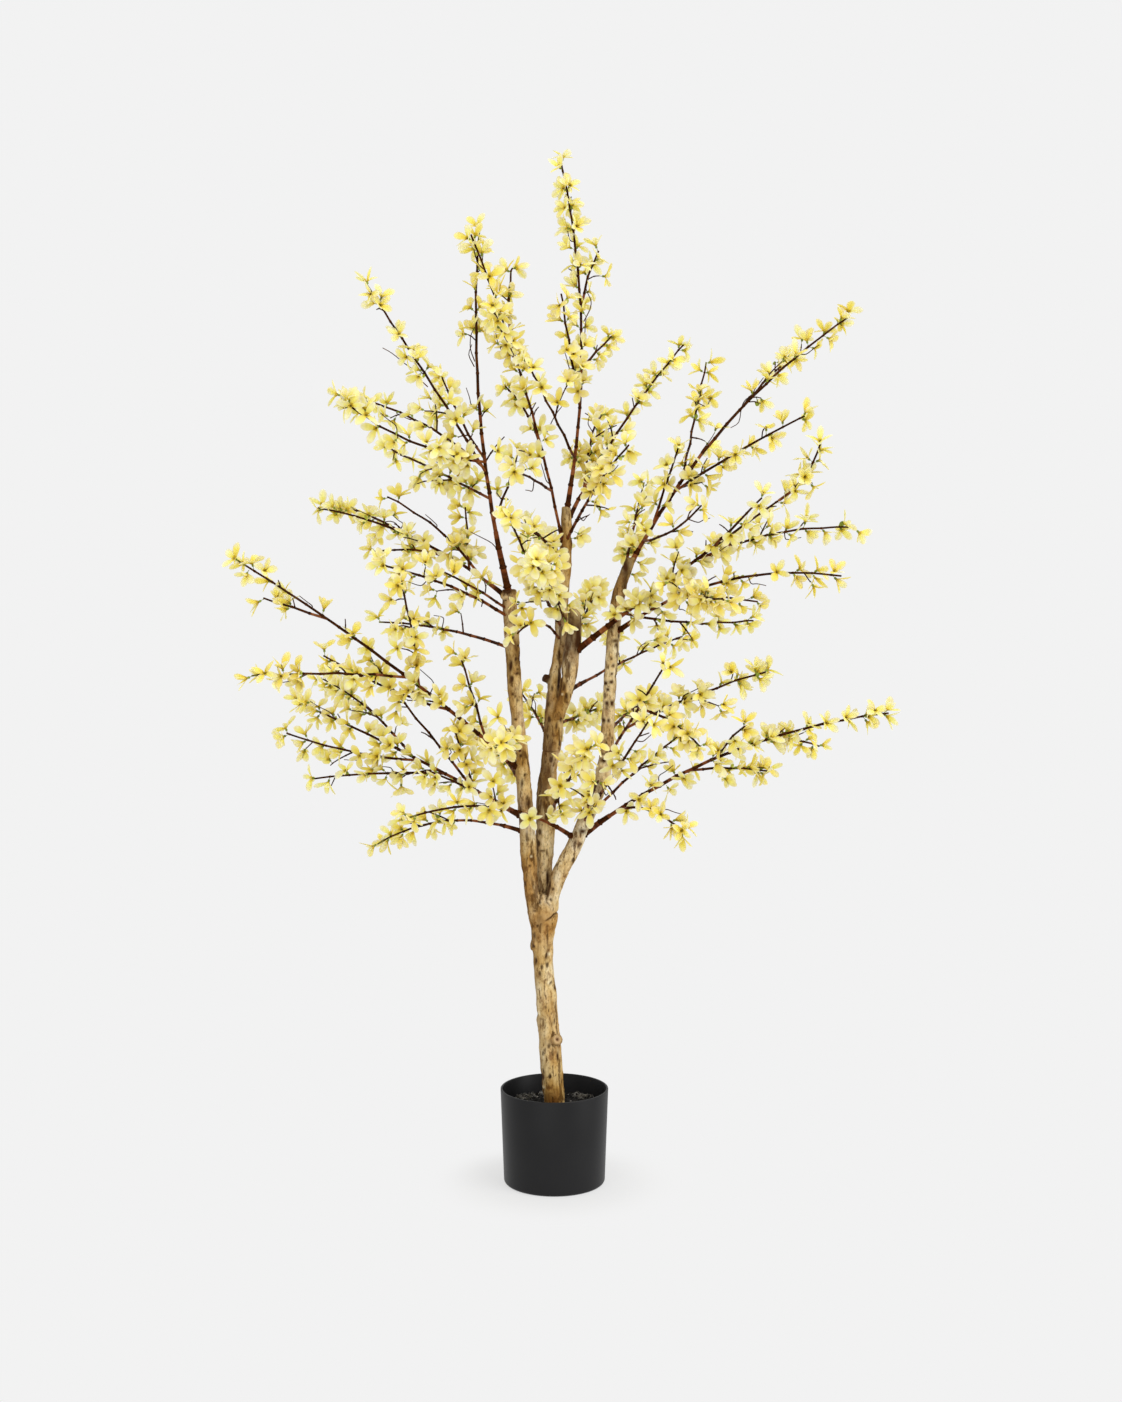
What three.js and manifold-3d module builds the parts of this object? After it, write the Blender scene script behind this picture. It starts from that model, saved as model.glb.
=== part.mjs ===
// Artificial forsythia tree, about 1.5 m tall, in a plain black pot.
// A real-wood trunk forks into three stems. Wire-cored boughs are set into the stems, and each
// bough carries one spray: shoots and spurs that branch by a seeded rule, with yellow blossoms.
// Millimetres, +Z up. The origin is the middle of the pot's flat underside, and the front is -Y.

import * as THREE from "three";
import { mergeVertices } from "three/addons/utils/BufferGeometryUtils.js";
import Module from "manifold-3d";

const wasm = await Module();
wasm.setup();

// ---- driving dimensions ----------------------------------------------------------------------

const GAP = 0.3; // clearance between neighbouring pieces
const CUT_MARGIN = 1.15 * GAP; // how much wider a faceted tube is made to cut that clearance

const POT = { height: 142, rimRadius: 80, baseRadius: 75, edgeRadius: 5, wall: 3, floor: 4, sides: 32 };
const FILL = { top: 116.5, dome: 3, flatRadius: 24 };
const FORK_HEIGHT = 412; // where the trunk ends and the three stems stand on it
const TRIM_WIDTH = 300; // of the blocks that cut the trunk's and the stems' ends level

// Each row of a stem: x, y, z of its middle, and its radius there.
const STEMS = [
  {
    name: "trunk",
    rows: [
      [-1, 0, 105, 16.6], [-5.2, 0, 190, 16.3], [-12.7, 0, 285, 14.4], [-17, 0, 340, 13.8],
      [-17, 0, 370, 15.4], [-15, -2, 425, 21.5],
    ],
    sides: 12, steps: 12, from: FILL.top + GAP, to: FORK_HEIGHT,
  },
  {
    name: "left_stem",
    rows: [
      [-29, -9, 400, 9], [-34, -9, 450, 10], [-37.5, -9.5, 490, 10.8], [-41, -10, 556, 10.3],
      [-53, -12, 690, 8.8], [-59, -14, 757, 9.4], [-65, -12, 880, 9.8],
    ],
    sides: 9, steps: 9, from: FORK_HEIGHT + GAP,
  },
  {
    name: "centre_stem",
    rows: [
      [-18, 9, 400, 9.4], [-16, 10, 450, 10.6], [-13, 13, 534, 13.4], [-11.5, 15, 577, 15],
      [-8.5, 18, 615, 11.6], [-2, 21, 664, 14], [-1, 23, 700, 12.4], [1, 26, 759, 8.2],
      [7, 27, 785, 8.1], [10, 28, 815, 8.3], [11, 28, 850, 8.3], [17, 30, 937, 8.2],
      [17, 30, 1000, 6.2],
    ],
    sides: 9, steps: 12, from: FORK_HEIGHT + GAP,
  },
  {
    name: "right_stem",
    rows: [
      [-5, -10, 400, 9.2], [-3, -10, 430, 9.6], [3.5, -10, 455, 11], [12, -10, 474, 12.6],
      [27, -9, 503, 11.6], [47, -8, 547, 11], [73, -2, 617, 9.8], [80, 4, 719, 8.6],
      [86, 8, 807, 8.6], [93, 8, 871, 9.2], [111, 4, 926, 6.4],
    ],
    sides: 9, steps: 12, from: FORK_HEIGHT + GAP,
  },
  {
    name: "centre_fork",
    rows: [
      [4, 16, 690, 8.8], [16, 9, 727, 9.8], [22.5, 6, 760, 11], [26, 4, 790, 10.7],
      [29.5, 3, 818, 10], [29, 3, 846, 8],
    ],
    sides: 9, steps: 6,
  },
];

// Sawn-off branch stubs: the stem they stand on, height, heading in degrees round from +X towards
// +Y, how far they stand out from the stem's middle, and their radius.
const STUBS = [
  { on: "trunk", height: 212, heading: -60, reach: 23, radius: 7 },
  { on: "trunk", height: 354, heading: 195, reach: 20, radius: 8 },
  { on: "centre_stem", height: 745, heading: 200, reach: 17, radius: 5.5 },
  { on: "left_stem", height: 868, heading: -120, reach: 16, radius: 6 },
  { on: "right_stem", height: 655, heading: 160, reach: 15, radius: 6 },
];

const STUB = { sides: 7, flare: 0.25, rise: 0.35 };

// Each bough: the stem it is set in and the height of its root, the furthest tip of its spray, how
// far its middle stands above the straight line from root to tip, the length that is a bare limb
// (none where the spray's own stem is set straight into the wood), and the radius at its root.
// Each side shoot: the share of the way along the bough where it starts, its tip, and its bow.
const BOUGHS = [
  {
    name: "left_reach", on: "left_stem", height: 615, tip: [-440, -120, 925], bow: 11, bare: 60, radius: 5.5,
    shoots: [
      [0.14, [-135, -60, 790], 1], [0.28, [-335, -10, 785], -7], [0.39, [-210, -180, 895], 17],
      [0.43, [-410, -200, 770], 4], [0.71, [-415, -50, 870], 0],
    ],
  },
  {
    name: "left_fan", on: "left_stem", height: 545, tip: [-395, 140, 705], bow: 6, bare: 60, radius: 5,
    shoots: [
      [0.19, [-180, -40, 620], 0], [0.22, [-145, -50, 685], 0], [0.22, [-260, -30, 775], -1],
      [0.35, [-355, 30, 600], 4], [0.46, [-400, 60, 665], -8], [0.49, [-370, 230, 735], 14],
    ],
  },
  { name: "left_low", on: "left_stem", height: 525, tip: [-275, 170, 480], bow: 27, bare: 50, radius: 4 },
  { name: "left_mid", on: "left_stem", height: 795, tip: [-270, 170, 825], bow: 9, radius: 3 },
  { name: "left_upper", on: "left_stem", height: 840, tip: [-245, -150, 920], bow: 10, radius: 3 },
  { name: "left_short", on: "left_stem", height: 850, tip: [-160, -90, 910], bow: 3, radius: 2.5 },
  {
    name: "left_high", on: "left_stem", height: 866, tip: [-360, 150, 1000], bow: 22, bare: 45, radius: 4.5,
    shoots: [
      [0.15, [-245, 40, 1015], 12], [0.22, [-135, 130, 1000], 4], [0.32, [-265, 50, 935], 6],
      [0.57, [-320, 210, 1000], 3],
    ],
  },
  {
    name: "left_top", on: "left_stem", height: 872, tip: [-105, -40, 1395], bow: -25, bare: 95, radius: 5.5,
    shoots: [
      [0.21, [-55, 90, 1080], -6], [0.27, [-265, 210, 1095], 2], [0.35, [-315, 90, 1165], 18],
      [0.34, [-255, -130, 1300], 2], [0.37, [-275, -210, 1135], -14], [0.38, [-165, 60, 1190], -6],
    ],
  },
  {
    name: "centre_top", on: "centre_stem", height: 990, tip: [10, 30, 1495], bow: 26, bare: 70, radius: 4.5,
    shoots: [
      [0.15, [35, 120, 1080], 0], [0.16, [-35, -150, 1195], 0], [0.31, [10, -80, 1295], -3],
      [0.42, [85, 120, 1255], 0], [0.58, [65, 80, 1375], 6],
    ],
  },
  {
    name: "centre_left", on: "centre_stem", height: 925, tip: [-115, -90, 1375], bow: 16, bare: 50, radius: 4,
    shoots: [
      [0.21, [-55, -170, 1050], 1], [0.34, [-75, 60, 1180], 10], [0.6, [-85, -150, 1270], 0],
      [0.68, [-60, 0, 1340], 20],
    ],
  },
  { name: "centre_right", on: "centre_stem", height: 950, tip: [100, -220, 1080], bow: 10, radius: 3 },
  {
    name: "centre_high", on: "centre_stem", height: 975, tip: [195, 150, 1245], bow: 12, bare: 50, radius: 4,
    shoots: [[0.17, [75, 230, 1145], 28]],
  },
  { name: "centre_loop", on: "centre_stem", height: 805, tip: [-50, -150, 825], bow: 20, radius: 2.5 },
  { name: "front_rise", on: "centre_stem", height: 825, tip: [-60, -280, 990], bow: -6, radius: 3 },
  { name: "front_mid", on: "centre_stem", height: 845, tip: [-25, -330, 925], bow: 9, radius: 3 },
  { name: "front_left", on: "centre_stem", height: 925, tip: [-65, -190, 990], bow: 3, radius: 3 },
  { name: "back_rise", on: "centre_fork", height: 800, tip: [68, 240, 870], bow: 6, radius: 3 },
  { name: "back_left", on: "centre_stem", height: 650, tip: [-55, 260, 710], bow: 5, radius: 3 },
  { name: "front_low", on: "centre_stem", height: 535, tip: [50, -260, 680], bow: 6, radius: 3 },
  { name: "back_right", on: "centre_stem", height: 680, tip: [80, 250, 690], bow: -1, radius: 3 },
  { name: "back_reach", on: "centre_fork", height: 730, tip: [205, 310, 795], bow: 5, bare: 60, radius: 4 },
  {
    name: "right_reach", on: "centre_fork", height: 785, tip: [325, -90, 1015], bow: 3, bare: 90, radius: 5.5,
    shoots: [
      [0.26, [300, 110, 830], -8], [0.6, [440, 20, 970], 14], [0.68, [280, -200, 1010], 0],
      [0.97, [365, -150, 1085], -11],
    ],
  },
  {
    name: "right_top", on: "right_stem", height: 895, tip: [435, 90, 1280], bow: 34, bare: 50, radius: 5.5,
    shoots: [
      [0.12, [200, -180, 1000], -10], [0.17, [180, 20, 1085], 0], [0.32, [235, 230, 1225], -1],
      [0.28, [350, -90, 1125], 4], [0.57, [370, 240, 1235], 4],
    ],
  },
  { name: "back_top", on: "right_stem", height: 900, tip: [140, 250, 1040], bow: 6, radius: 3 },
  {
    name: "right_mid", on: "right_stem", height: 815, tip: [390, -190, 905], bow: 34, bare: 55, radius: 4.5,
    shoots: [[0.25, [225, -260, 875], 6], [0.32, [290, -60, 865], 3]],
  },
  {
    name: "right_front", on: "right_stem", height: 630, tip: [150, -250, 790], bow: 0, bare: 50, radius: 4,
    shoots: [[0.36, [295, -130, 770], 6], [0.57, [200, -260, 675], 9]],
  },
  { name: "right_back", on: "right_stem", height: 545, tip: [210, 220, 655], bow: 6, bare: 50, radius: 4 },
  { name: "front_right", on: "right_stem", height: 560, tip: [125, -280, 715], bow: 0, radius: 3 },
  {
    name: "right_low", on: "right_stem", height: 515, tip: [480, -50, 705], bow: 34, bare: 60, radius: 5.5,
    shoots: [
      [0.15, [185, -170, 545], 17], [0.39, [325, 80, 605], 4], [0.48, [265, -140, 695], 3],
      [0.65, [395, 60, 645], 3],
    ],
  },
  { name: "low_cross", on: "right_stem", height: 515, tip: [-200, -200, 575], bow: 31, bare: 60, radius: 4 },
  { name: "front_short", on: "right_stem", height: 540, tip: [60, -230, 630], bow: 6, radius: 2.5 },
  { name: "back_low", on: "left_stem", height: 590, tip: [-125, 310, 635], bow: 12, radius: 3 },
  { name: "back_mid", on: "right_stem", height: 670, tip: [160, 320, 695], bow: 8, radius: 3 },
  { name: "back_high", on: "centre_stem", height: 920, tip: [-30, 300, 955], bow: 8, radius: 3 },
  { name: "front_near", on: "left_stem", height: 645, tip: [-75, -290, 685], bow: 9, radius: 3 },
];

const BOUGH = { sides: 6, step: 45, taper: 0.35 };
const TWIG = { sides: 3, step: 90, radius: 2.2, tipRadius: 1.3, sample: 3 };
const SPUR = { first: 100, step: 280, shortest: 32, longest: 58, angle: 50, bow: 2, radius: 1.5 };
// A blossom: four petals, from the twig's middle out to the rim, and a low crown in front of it.
const BLOSSOM = {
  petals: 4, reach: 27, notch: 12, depth: 12, crown: 4,
  first: 28, step: 71, // along a shoot
  tilt: 8, tipTilt: 55, turn: 137.5, // degrees
};

// ---- solids ----------------------------------------------------------------------------------

function closed(geometry) {
  const bare = geometry.clone();
  bare.deleteAttribute("normal");
  bare.deleteAttribute("uv");
  return mergeVertices(bare, 1e-4);
}

function toSolid(geometry) {
  return new wasm.Manifold(new wasm.Mesh({
    numProp: 3,
    vertProperties: new Float32Array(geometry.attributes.position.array),
    triVerts: new Uint32Array(geometry.index.array),
  }));
}

function toGeometry(solid) {
  const { vertProperties, triVerts } = solid.getMesh();
  const geometry = new THREE.BufferGeometry();
  geometry.setAttribute("position", new THREE.BufferAttribute(vertProperties, 3));
  geometry.setIndex(new THREE.BufferAttribute(triVerts, 1));
  geometry.computeVertexNormals();
  return geometry;
}

// The largest connected piece: loose scraps and sealed hollows are left out.
function largest(solid) {
  const pieces = solid.decompose();
  return pieces.reduce((best, piece) => (piece.volume() > best.volume() ? piece : best));
}

// A closed, tapering tube from share `from` to share `to` of a curve.
function tube(curve, from, to, radiusAt, sides, steps, margin = 0) {
  const geometry = closed(new THREE.CylinderGeometry(1, 1, 1, sides, steps));
  const places = geometry.attributes.position;
  const chord = curve.getPoint(1).sub(curve.getPoint(0));
  const across = Math.hypot(chord.x, chord.y) > 1
    ? new THREE.Vector3(-chord.y, chord.x, 0).normalize()
    : new THREE.Vector3(0, 1, 0);
  const corner = new THREE.Vector3();
  for (let i = 0; i < places.count; i++) {
    corner.fromBufferAttribute(places, i);
    const share = from + (to - from) * (corner.y + 0.5);
    const along = curve.getTangent(share);
    const side = across.clone().addScaledVector(along, -across.dot(along)).normalize();
    const up = along.clone().cross(side);
    const radius = radiusAt(share) + margin;
    const place = curve.getPoint(share);
    place.addScaledVector(up, corner.x * radius).addScaledVector(side, corner.z * radius);
    places.setXYZ(i, place.x, place.y, place.z);
  }
  return toSolid(geometry);
}

function box(width, bottom, top) {
  const geometry = new THREE.BoxGeometry(width, width, top - bottom);
  return toSolid(closed(geometry.translate(0, 0, (bottom + top) / 2)));
}

// ---- the scene graph -------------------------------------------------------------------------

const tree = new THREE.Group();

function addPiece(name, solid, parent, finish) {
  const piece = new THREE.Mesh(toGeometry(solid), new THREE.MeshStandardMaterial(finish));
  piece.name = name;
  parent.add(piece);
}

const FINISH = {
  pot: { color: 0x232324, roughness: 0.45, metalness: 0 },
  fill: { color: 0x35352f, roughness: 0.95, metalness: 0 },
  wood: { color: 0xa8865a, roughness: 0.8, metalness: 0 },
  bough: { color: 0x5c382a, roughness: 0.75, metalness: 0 },
  spray: { color: 0xe8d76b, roughness: 0.85, metalness: 0 },
};

// ---- what is taken: tubes and blossoms that later pieces keep clear of -----------------------

const taken = [];

function takeLine(node, start, end, radius) {
  taken.push({ node, line: new THREE.Line3(start, end), radius });
}

function takeTube(node, curve, from, to, radiusAt, steps) {
  for (let i = 0; i < steps; i++) {
    const a = from + ((to - from) * i) / steps;
    const b = from + ((to - from) * (i + 1)) / steps;
    takeLine(node, curve.getPoint(a), curve.getPoint(b), Math.max(radiusAt(a), radiusAt(b)));
  }
}

const nearest = new THREE.Vector3();

function isClear(node, place, radius) {
  return taken.every((other) => {
    if (other.node === node) return true;
    other.line.closestPointToPoint(place, true, nearest);
    return nearest.distanceTo(place) > radius + other.radius + GAP;
  });
}

// Whether a tube is clear of the other nodes, past the stretch at its root where it is carried.
function isTubeClear(node, curve, radius, rootLength) {
  const length = curve.getLength();
  for (let along = rootLength; along <= length; along += TWIG.sample) {
    if (!isClear(node, curve.getPoint(along / length), radius + 1)) return false;
  }
  return true;
}

// ---- pot and fill ----------------------------------------------------------------------------

function lathe(profile, sides) {
  const points = profile.map(([radius, height]) => new THREE.Vector2(radius, height));
  return toSolid(closed(new THREE.LatheGeometry(points, sides).rotateX(Math.PI / 2)));
}

const potRadiusAt = (height) => POT.baseRadius + ((POT.rimRadius - POT.baseRadius) * height) / POT.height;

const potEdge = [0, 1, 2, 3].map((i) => {
  const turn = (i * Math.PI) / 6;
  return [
    potRadiusAt(POT.edgeRadius) - POT.edgeRadius * (1 - Math.sin(turn)),
    POT.edgeRadius * (1 - Math.cos(turn)),
  ];
});
const potShell = lathe([
  [0, 0], ...potEdge, [POT.rimRadius, POT.height - 1], [POT.rimRadius - 1, POT.height],
  [POT.rimRadius - POT.wall, POT.height], [potRadiusAt(POT.floor) - POT.wall, POT.floor], [0, POT.floor],
], POT.sides);

const fillRadiusAt = (height) => potRadiusAt(height) - POT.wall - GAP;
const fillBottom = POT.floor + GAP;
const fillBody = lathe([
  [0, fillBottom], [fillRadiusAt(fillBottom), fillBottom],
  [fillRadiusAt(FILL.top - FILL.dome), FILL.top - FILL.dome], [FILL.flatRadius, FILL.top], [0, FILL.top],
], POT.sides);

const base = new THREE.Group();
tree.add(base);
addPiece("pot", potShell, base, FINISH.pot);
addPiece("pot_fill", fillBody, base, FINISH.fill);

// ---- trunk and stems -------------------------------------------------------------------------

const wood = new THREE.Group();
tree.add(wood);

function stemCurve(rows) {
  const points = rows.map(([x, y, z]) => new THREE.Vector3(x, y, z));
  return new THREE.CatmullRomCurve3(points, false, "catmullrom", 0.5);
}

function stemRadius(rows) {
  return (share) => {
    const place = Math.min(Math.max(share, 0), 1) * (rows.length - 1);
    const row = Math.min(Math.floor(place), rows.length - 2);
    return rows[row][3] + (rows[row + 1][3] - rows[row][3]) * (place - row);
  };
}

function shareAtHeight(curve, height) {
  let low = 0;
  let high = 1;
  for (let i = 0; i < 40; i++) {
    const middle = (low + high) / 2;
    if (curve.getPoint(middle).z < height) low = middle;
    else high = middle;
  }
  return low;
}

// Each limb that later pieces are set into, with the same tube a gap wider, to cut them with.
const cutters = [];

function carve(solid) {
  return cutters.reduce((rest, cutter) => rest.subtract(cutter), solid);
}

const stems = {};
for (const { name, rows, sides, steps, from, to } of STEMS) {
  const curve = stemCurve(rows);
  const radiusAt = stemRadius(rows);
  stems[name] = { curve };
  const parts = [tube(curve, 0, 1, radiusAt, sides, steps)];
  for (const stub of STUBS.filter(({ on }) => on === name)) {
    const root = curve.getPoint(shareAtHeight(curve, stub.height));
    const turn = THREE.MathUtils.degToRad(stub.heading);
    const out = new THREE.Vector3(Math.cos(turn), Math.sin(turn), STUB.rise);
    const end = root.clone().addScaledVector(out, stub.reach);
    const line = new THREE.LineCurve3(root, end);
    const stubRadius = (share) => stub.radius * (1 + STUB.flare * (1 - share));
    parts.push(tube(line, 0, 1, stubRadius, STUB.sides, 1));
    takeLine(name, root, end, stub.radius);
  }
  let body = carve(wasm.Manifold.union(parts));
  if (from) body = body.subtract(box(TRIM_WIDTH, 0, from));
  if (to) body = body.subtract(box(TRIM_WIDTH, to, 2 * to));
  addPiece(name, largest(body), wood, FINISH.wood);
  takeTube(name, curve, 0, 1, radiusAt, steps);
  // The stems stand on the trunk's level top, and only they have boughs set into them.
  if (!to) cutters.push(tube(curve, 0, 1, radiusAt, sides, steps, CUT_MARGIN));
}

// ---- boughs ----------------------------------------------------------------------------------

const limbs = new THREE.Group();
tree.add(limbs);

// A limb's curve: the bow is measured square to the line from root to tip, on its upper side.
function bowed(root, tip, bow) {
  const chord = tip.clone().sub(root).normalize();
  const above = new THREE.Vector3(0, 0, 1).addScaledVector(chord, -chord.z).normalize();
  const control = root.clone().lerp(tip, 0.5).addScaledVector(above, 2 * bow);
  return new THREE.QuadraticBezierCurve3(root, control, tip);
}

const steps = (curve, from, to, step) => Math.max(1, Math.round((curve.getLength() * (to - from)) / step));

const sprays = [];
for (const { name, on, height, tip, bow, bare = 0, radius, shoots = [] } of BOUGHS) {
  const stem = stems[on];
  const root = stem.curve.getPoint(shareAtHeight(stem.curve, height));
  const curve = bowed(root, new THREE.Vector3(...tip), bow);
  const length = curve.getLength();
  const spray = { name: `${name}_spray`, curve, shoots, start: 0, radius };
  if (bare > 0) {
    const end = bare / length;
    const limb = `${name}_bough`;
    const radiusAt = (share) => radius * (1 - (BOUGH.taper * share) / end);
    const count = steps(curve, 0, end, BOUGH.step);
    addPiece(limb, largest(carve(tube(curve, 0, end, radiusAt, BOUGH.sides, count))), limbs, FINISH.bough);
    takeTube(limb, curve, 0, end, radiusAt, count);
    cutters.push(tube(curve, 0, end, radiusAt, BOUGH.sides, count, CUT_MARGIN));
    spray.start = (bare + GAP) / length;
    spray.radius = radiusAt(end);
  }
  sprays.push(spray);
}

// ---- sprays ----------------------------------------------------------------------------------

function seeded(seed) {
  let state = (seed * 7919 + 104729) % 2147483647;
  return () => {
    state = (state * 16807) % 2147483647;
    return state / 2147483647;
  };
}

// A direction square to `along`, turned by `angle` radians from the upward side.
function outward(along, angle) {
  const side = new THREE.Vector3(0, 0, 1).cross(along);
  if (side.length() < 0.01) side.set(0, 1, 0);
  side.normalize();
  const up = along.clone().cross(side);
  return up.multiplyScalar(Math.cos(angle)).addScaledVector(side, Math.sin(angle));
}

// Each twig of a spray: its curve, the share where it starts, its radius at a share, and the
// straight steps that its tube is made in, on which its spurs and blossoms are set.
function twig(curve, start, rootRadius) {
  const count = steps(curve, start, 1, TWIG.step);
  const radiusAt = (share) => rootRadius + (TWIG.tipRadius - rootRadius) * Math.max(0, share - start);
  const placeAt = (share) => {
    const step = Math.min(Math.floor(((share - start) / (1 - start)) * count), count - 1);
    const from = start + ((1 - start) * step) / count;
    const to = start + ((1 - start) * (step + 1)) / count;
    return curve.getPoint(from).lerp(curve.getPoint(to), (share - from) / (to - from));
  };
  return { curve, start, count, radiusAt, placeAt };
}

// First the leading shoot of every spray, then the side shoots, so that all of them have room.
function addTwig(spray, shoot) {
  spray.twigs.push(shoot);
  takeTube(spray.name, shoot.curve, shoot.start, 1, shoot.radiusAt, shoot.count);
}

for (const spray of sprays) {
  spray.twigs = [];
  addTwig(spray, twig(spray.curve, spray.start, spray.radius));
}
for (const spray of sprays) {
  for (const [share, tip, bow] of spray.shoots) {
    const curve = bowed(spray.twigs[0].placeAt(share), new THREE.Vector3(...tip), bow);
    const shoot = twig(curve, 0, TWIG.radius);
    if (isTubeClear(spray.name, curve, TWIG.radius, 3 * spray.radius)) addTwig(spray, shoot);
  }
}

// Then the seeded spurs: short twigs that leave a shoot at an angle, wherever there is room.
sprays.forEach((spray, index) => {
  const shoots = [...spray.twigs];
  shoots.forEach((shoot, number) => {
    const random = seeded(100 * (index + 1) + number);
    const length = shoot.curve.getLength();
    for (let along = shoot.start * length + SPUR.first; along < length - SPUR.first; along += SPUR.step) {
      const root = shoot.placeAt(along / length);
      const heading = shoot.curve.getTangent(along / length);
      const lean = THREE.MathUtils.degToRad(SPUR.angle * (0.8 + 0.4 * random()));
      const out = outward(heading, 2 * Math.PI * random());
      const reach = SPUR.shortest + (SPUR.longest - SPUR.shortest) * random();
      const tip = root.clone().addScaledVector(heading, reach * Math.cos(lean));
      const curve = bowed(root, tip.addScaledVector(out, reach * Math.sin(lean)), SPUR.bow);
      if (!isTubeClear(spray.name, curve, SPUR.radius, 0)) continue;
      addTwig(spray, { ...twig(curve, 0, SPUR.radius), isSpur: true });
    }
  });
});

// A blossom: four pointed petals round a low crown, on a four-sided throat whose tip is at the
// origin, in the twig's middle. +Y is the way it faces.
const blossomShape = new THREE.BufferGeometry();
{
  const rim = 2 * BLOSSOM.petals;
  const corners = [0, 0, 0, 0, BLOSSOM.depth + BLOSSOM.crown, 0];
  const faces = [];
  for (let i = 0; i < rim; i++) {
    const isTip = i % 2 === 1;
    const radius = isTip ? BLOSSOM.reach : BLOSSOM.notch;
    const turn = (i * Math.PI) / BLOSSOM.petals;
    corners.push(radius * Math.cos(turn), BLOSSOM.depth, -radius * Math.sin(turn));
    const next = (i + 1) % rim;
    faces.push(1, 2 + i, 2 + next);
    if (isTip) faces.push(2 + i - 1, 2 + next, 2 + i, 0, 2 + next, 2 + i - 1);
  }
  blossomShape.setAttribute("position", new THREE.Float32BufferAttribute(corners, 3));
  blossomShape.setIndex(faces);
}

function blossom(place, facing, spin) {
  const turn = new THREE.Quaternion().setFromUnitVectors(new THREE.Vector3(0, 1, 0), facing);
  turn.multiply(new THREE.Quaternion().setFromAxisAngle(new THREE.Vector3(0, 1, 0), spin));
  const matrix = new THREE.Matrix4().compose(place, turn, new THREE.Vector3(1, 1, 1));
  return toSolid(blossomShape.clone().applyMatrix4(matrix));
}

// Last the blossoms, dealt alternately round each twig, with one at its tip.
const foliage = new THREE.Group();
tree.add(foliage);

sprays.forEach((spray, index) => {
  const parts = [];
  spray.twigs.forEach(({ curve, start, count, radiusAt, placeAt, isSpur }, number) => {
    const random = seeded(100 * (index + 1) + 50 + number);
    const length = curve.getLength();
    parts.push(tube(curve, start, 1, radiusAt, TWIG.sides, count));
    const last = isSpur ? 0 : length - BLOSSOM.step;
    const places = [{ along: length - BLOSSOM.depth, atTip: true }];
    for (let along = start * length + BLOSSOM.first; along < last; along += BLOSSOM.step) {
      places.push({ along, atTip: false });
    }
    places.forEach(({ along, atTip }, turn) => {
      const heading = curve.getTangent(along / length);
      const out = outward(heading, THREE.MathUtils.degToRad(BLOSSOM.turn) * (turn + random()));
      const tilt = THREE.MathUtils.degToRad(atTip ? BLOSSOM.tipTilt : BLOSSOM.tilt);
      const facing = heading.multiplyScalar(Math.sin(tilt)).addScaledVector(out, Math.cos(tilt));
      const place = placeAt(along / length);
      const middle = place.clone().addScaledVector(facing, BLOSSOM.depth);
      const spin = Math.PI * random();
      if (!isClear(spray.name, middle, BLOSSOM.reach + GAP)) return;
      parts.push(blossom(place, facing, spin));
      takeLine(spray.name, middle, middle, BLOSSOM.reach + GAP);
    });
  });
  addPiece(spray.name, largest(carve(wasm.Manifold.union(parts))), foliage, FINISH.spray);
  const { curve, start, count, radiusAt } = spray.twigs[0];
  cutters.push(tube(curve, start, 1, radiusAt, TWIG.sides, count, 2 * GAP));
});

export default tree;
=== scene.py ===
import math

import bmesh
import bpy
import numpy as np
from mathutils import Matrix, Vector, noise


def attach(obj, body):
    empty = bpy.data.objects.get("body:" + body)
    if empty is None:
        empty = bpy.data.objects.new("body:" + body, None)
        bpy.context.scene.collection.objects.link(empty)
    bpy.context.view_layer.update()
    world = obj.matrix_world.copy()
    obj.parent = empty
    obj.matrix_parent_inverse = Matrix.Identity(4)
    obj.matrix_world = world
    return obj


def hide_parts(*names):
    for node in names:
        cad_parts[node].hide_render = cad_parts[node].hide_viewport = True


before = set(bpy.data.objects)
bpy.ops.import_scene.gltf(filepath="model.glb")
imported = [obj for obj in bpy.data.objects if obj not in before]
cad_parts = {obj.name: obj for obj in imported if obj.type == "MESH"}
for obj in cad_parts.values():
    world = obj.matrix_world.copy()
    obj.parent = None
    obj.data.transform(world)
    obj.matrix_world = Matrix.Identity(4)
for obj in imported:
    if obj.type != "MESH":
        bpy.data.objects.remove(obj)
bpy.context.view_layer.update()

# ---- Studio ----------------------------------------------------------------------------------
# A pale seamless floor in an evenly lit white studio, a broad lamp high on the right, a weaker one
# low beside it and a soft one in front. The camera stands 2.9 m in front of the tree, a little
# above its middle, and looks slightly down.

STUDIO_GREY = 0.888  # of the air behind and of the floor, as the camera sees them
FLOOR_ALBEDO = 0.25  # round the pot; further off the floor glows evenly and takes no shadow
SHADOW_REACH = (0.085, 0.2)  # how far from the pot's middle shadows start and end to fade
FLOOR_SIZE = 60
# Each lamp: its name, the direction it shines from, its strength and how broad it looks in degrees.
LAMPS = [("key_lamp", (1.5, -1.4, 3.1), 0.85, 30), ("side_lamp", (3.0, -1.5, 0.9), 0.7, 30),
         ("front_lamp", (-0.9, -3.0, 0.9), 0.8, 50)]
CAMERA_PLACE, CAMERA_PITCH, CAMERA_LENS = (0.0098, -2.908, 0.974), 5.03, 51.36

scene = bpy.context.scene
scene.view_settings.view_transform = "Standard"

studio_air = bpy.data.worlds.new("studio_air")
studio_air.use_nodes = True
studio_air.node_tree.nodes["Background"].inputs["Color"].default_value = (STUDIO_GREY,) * 3 + (1,)
scene.world = studio_air

bpy.ops.object.camera_add(location=CAMERA_PLACE, rotation=(math.radians(90 - CAMERA_PITCH), 0, 0))
camera = bpy.context.object
camera.data.sensor_width, camera.data.lens = 36, CAMERA_LENS
scene.camera = camera

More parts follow.
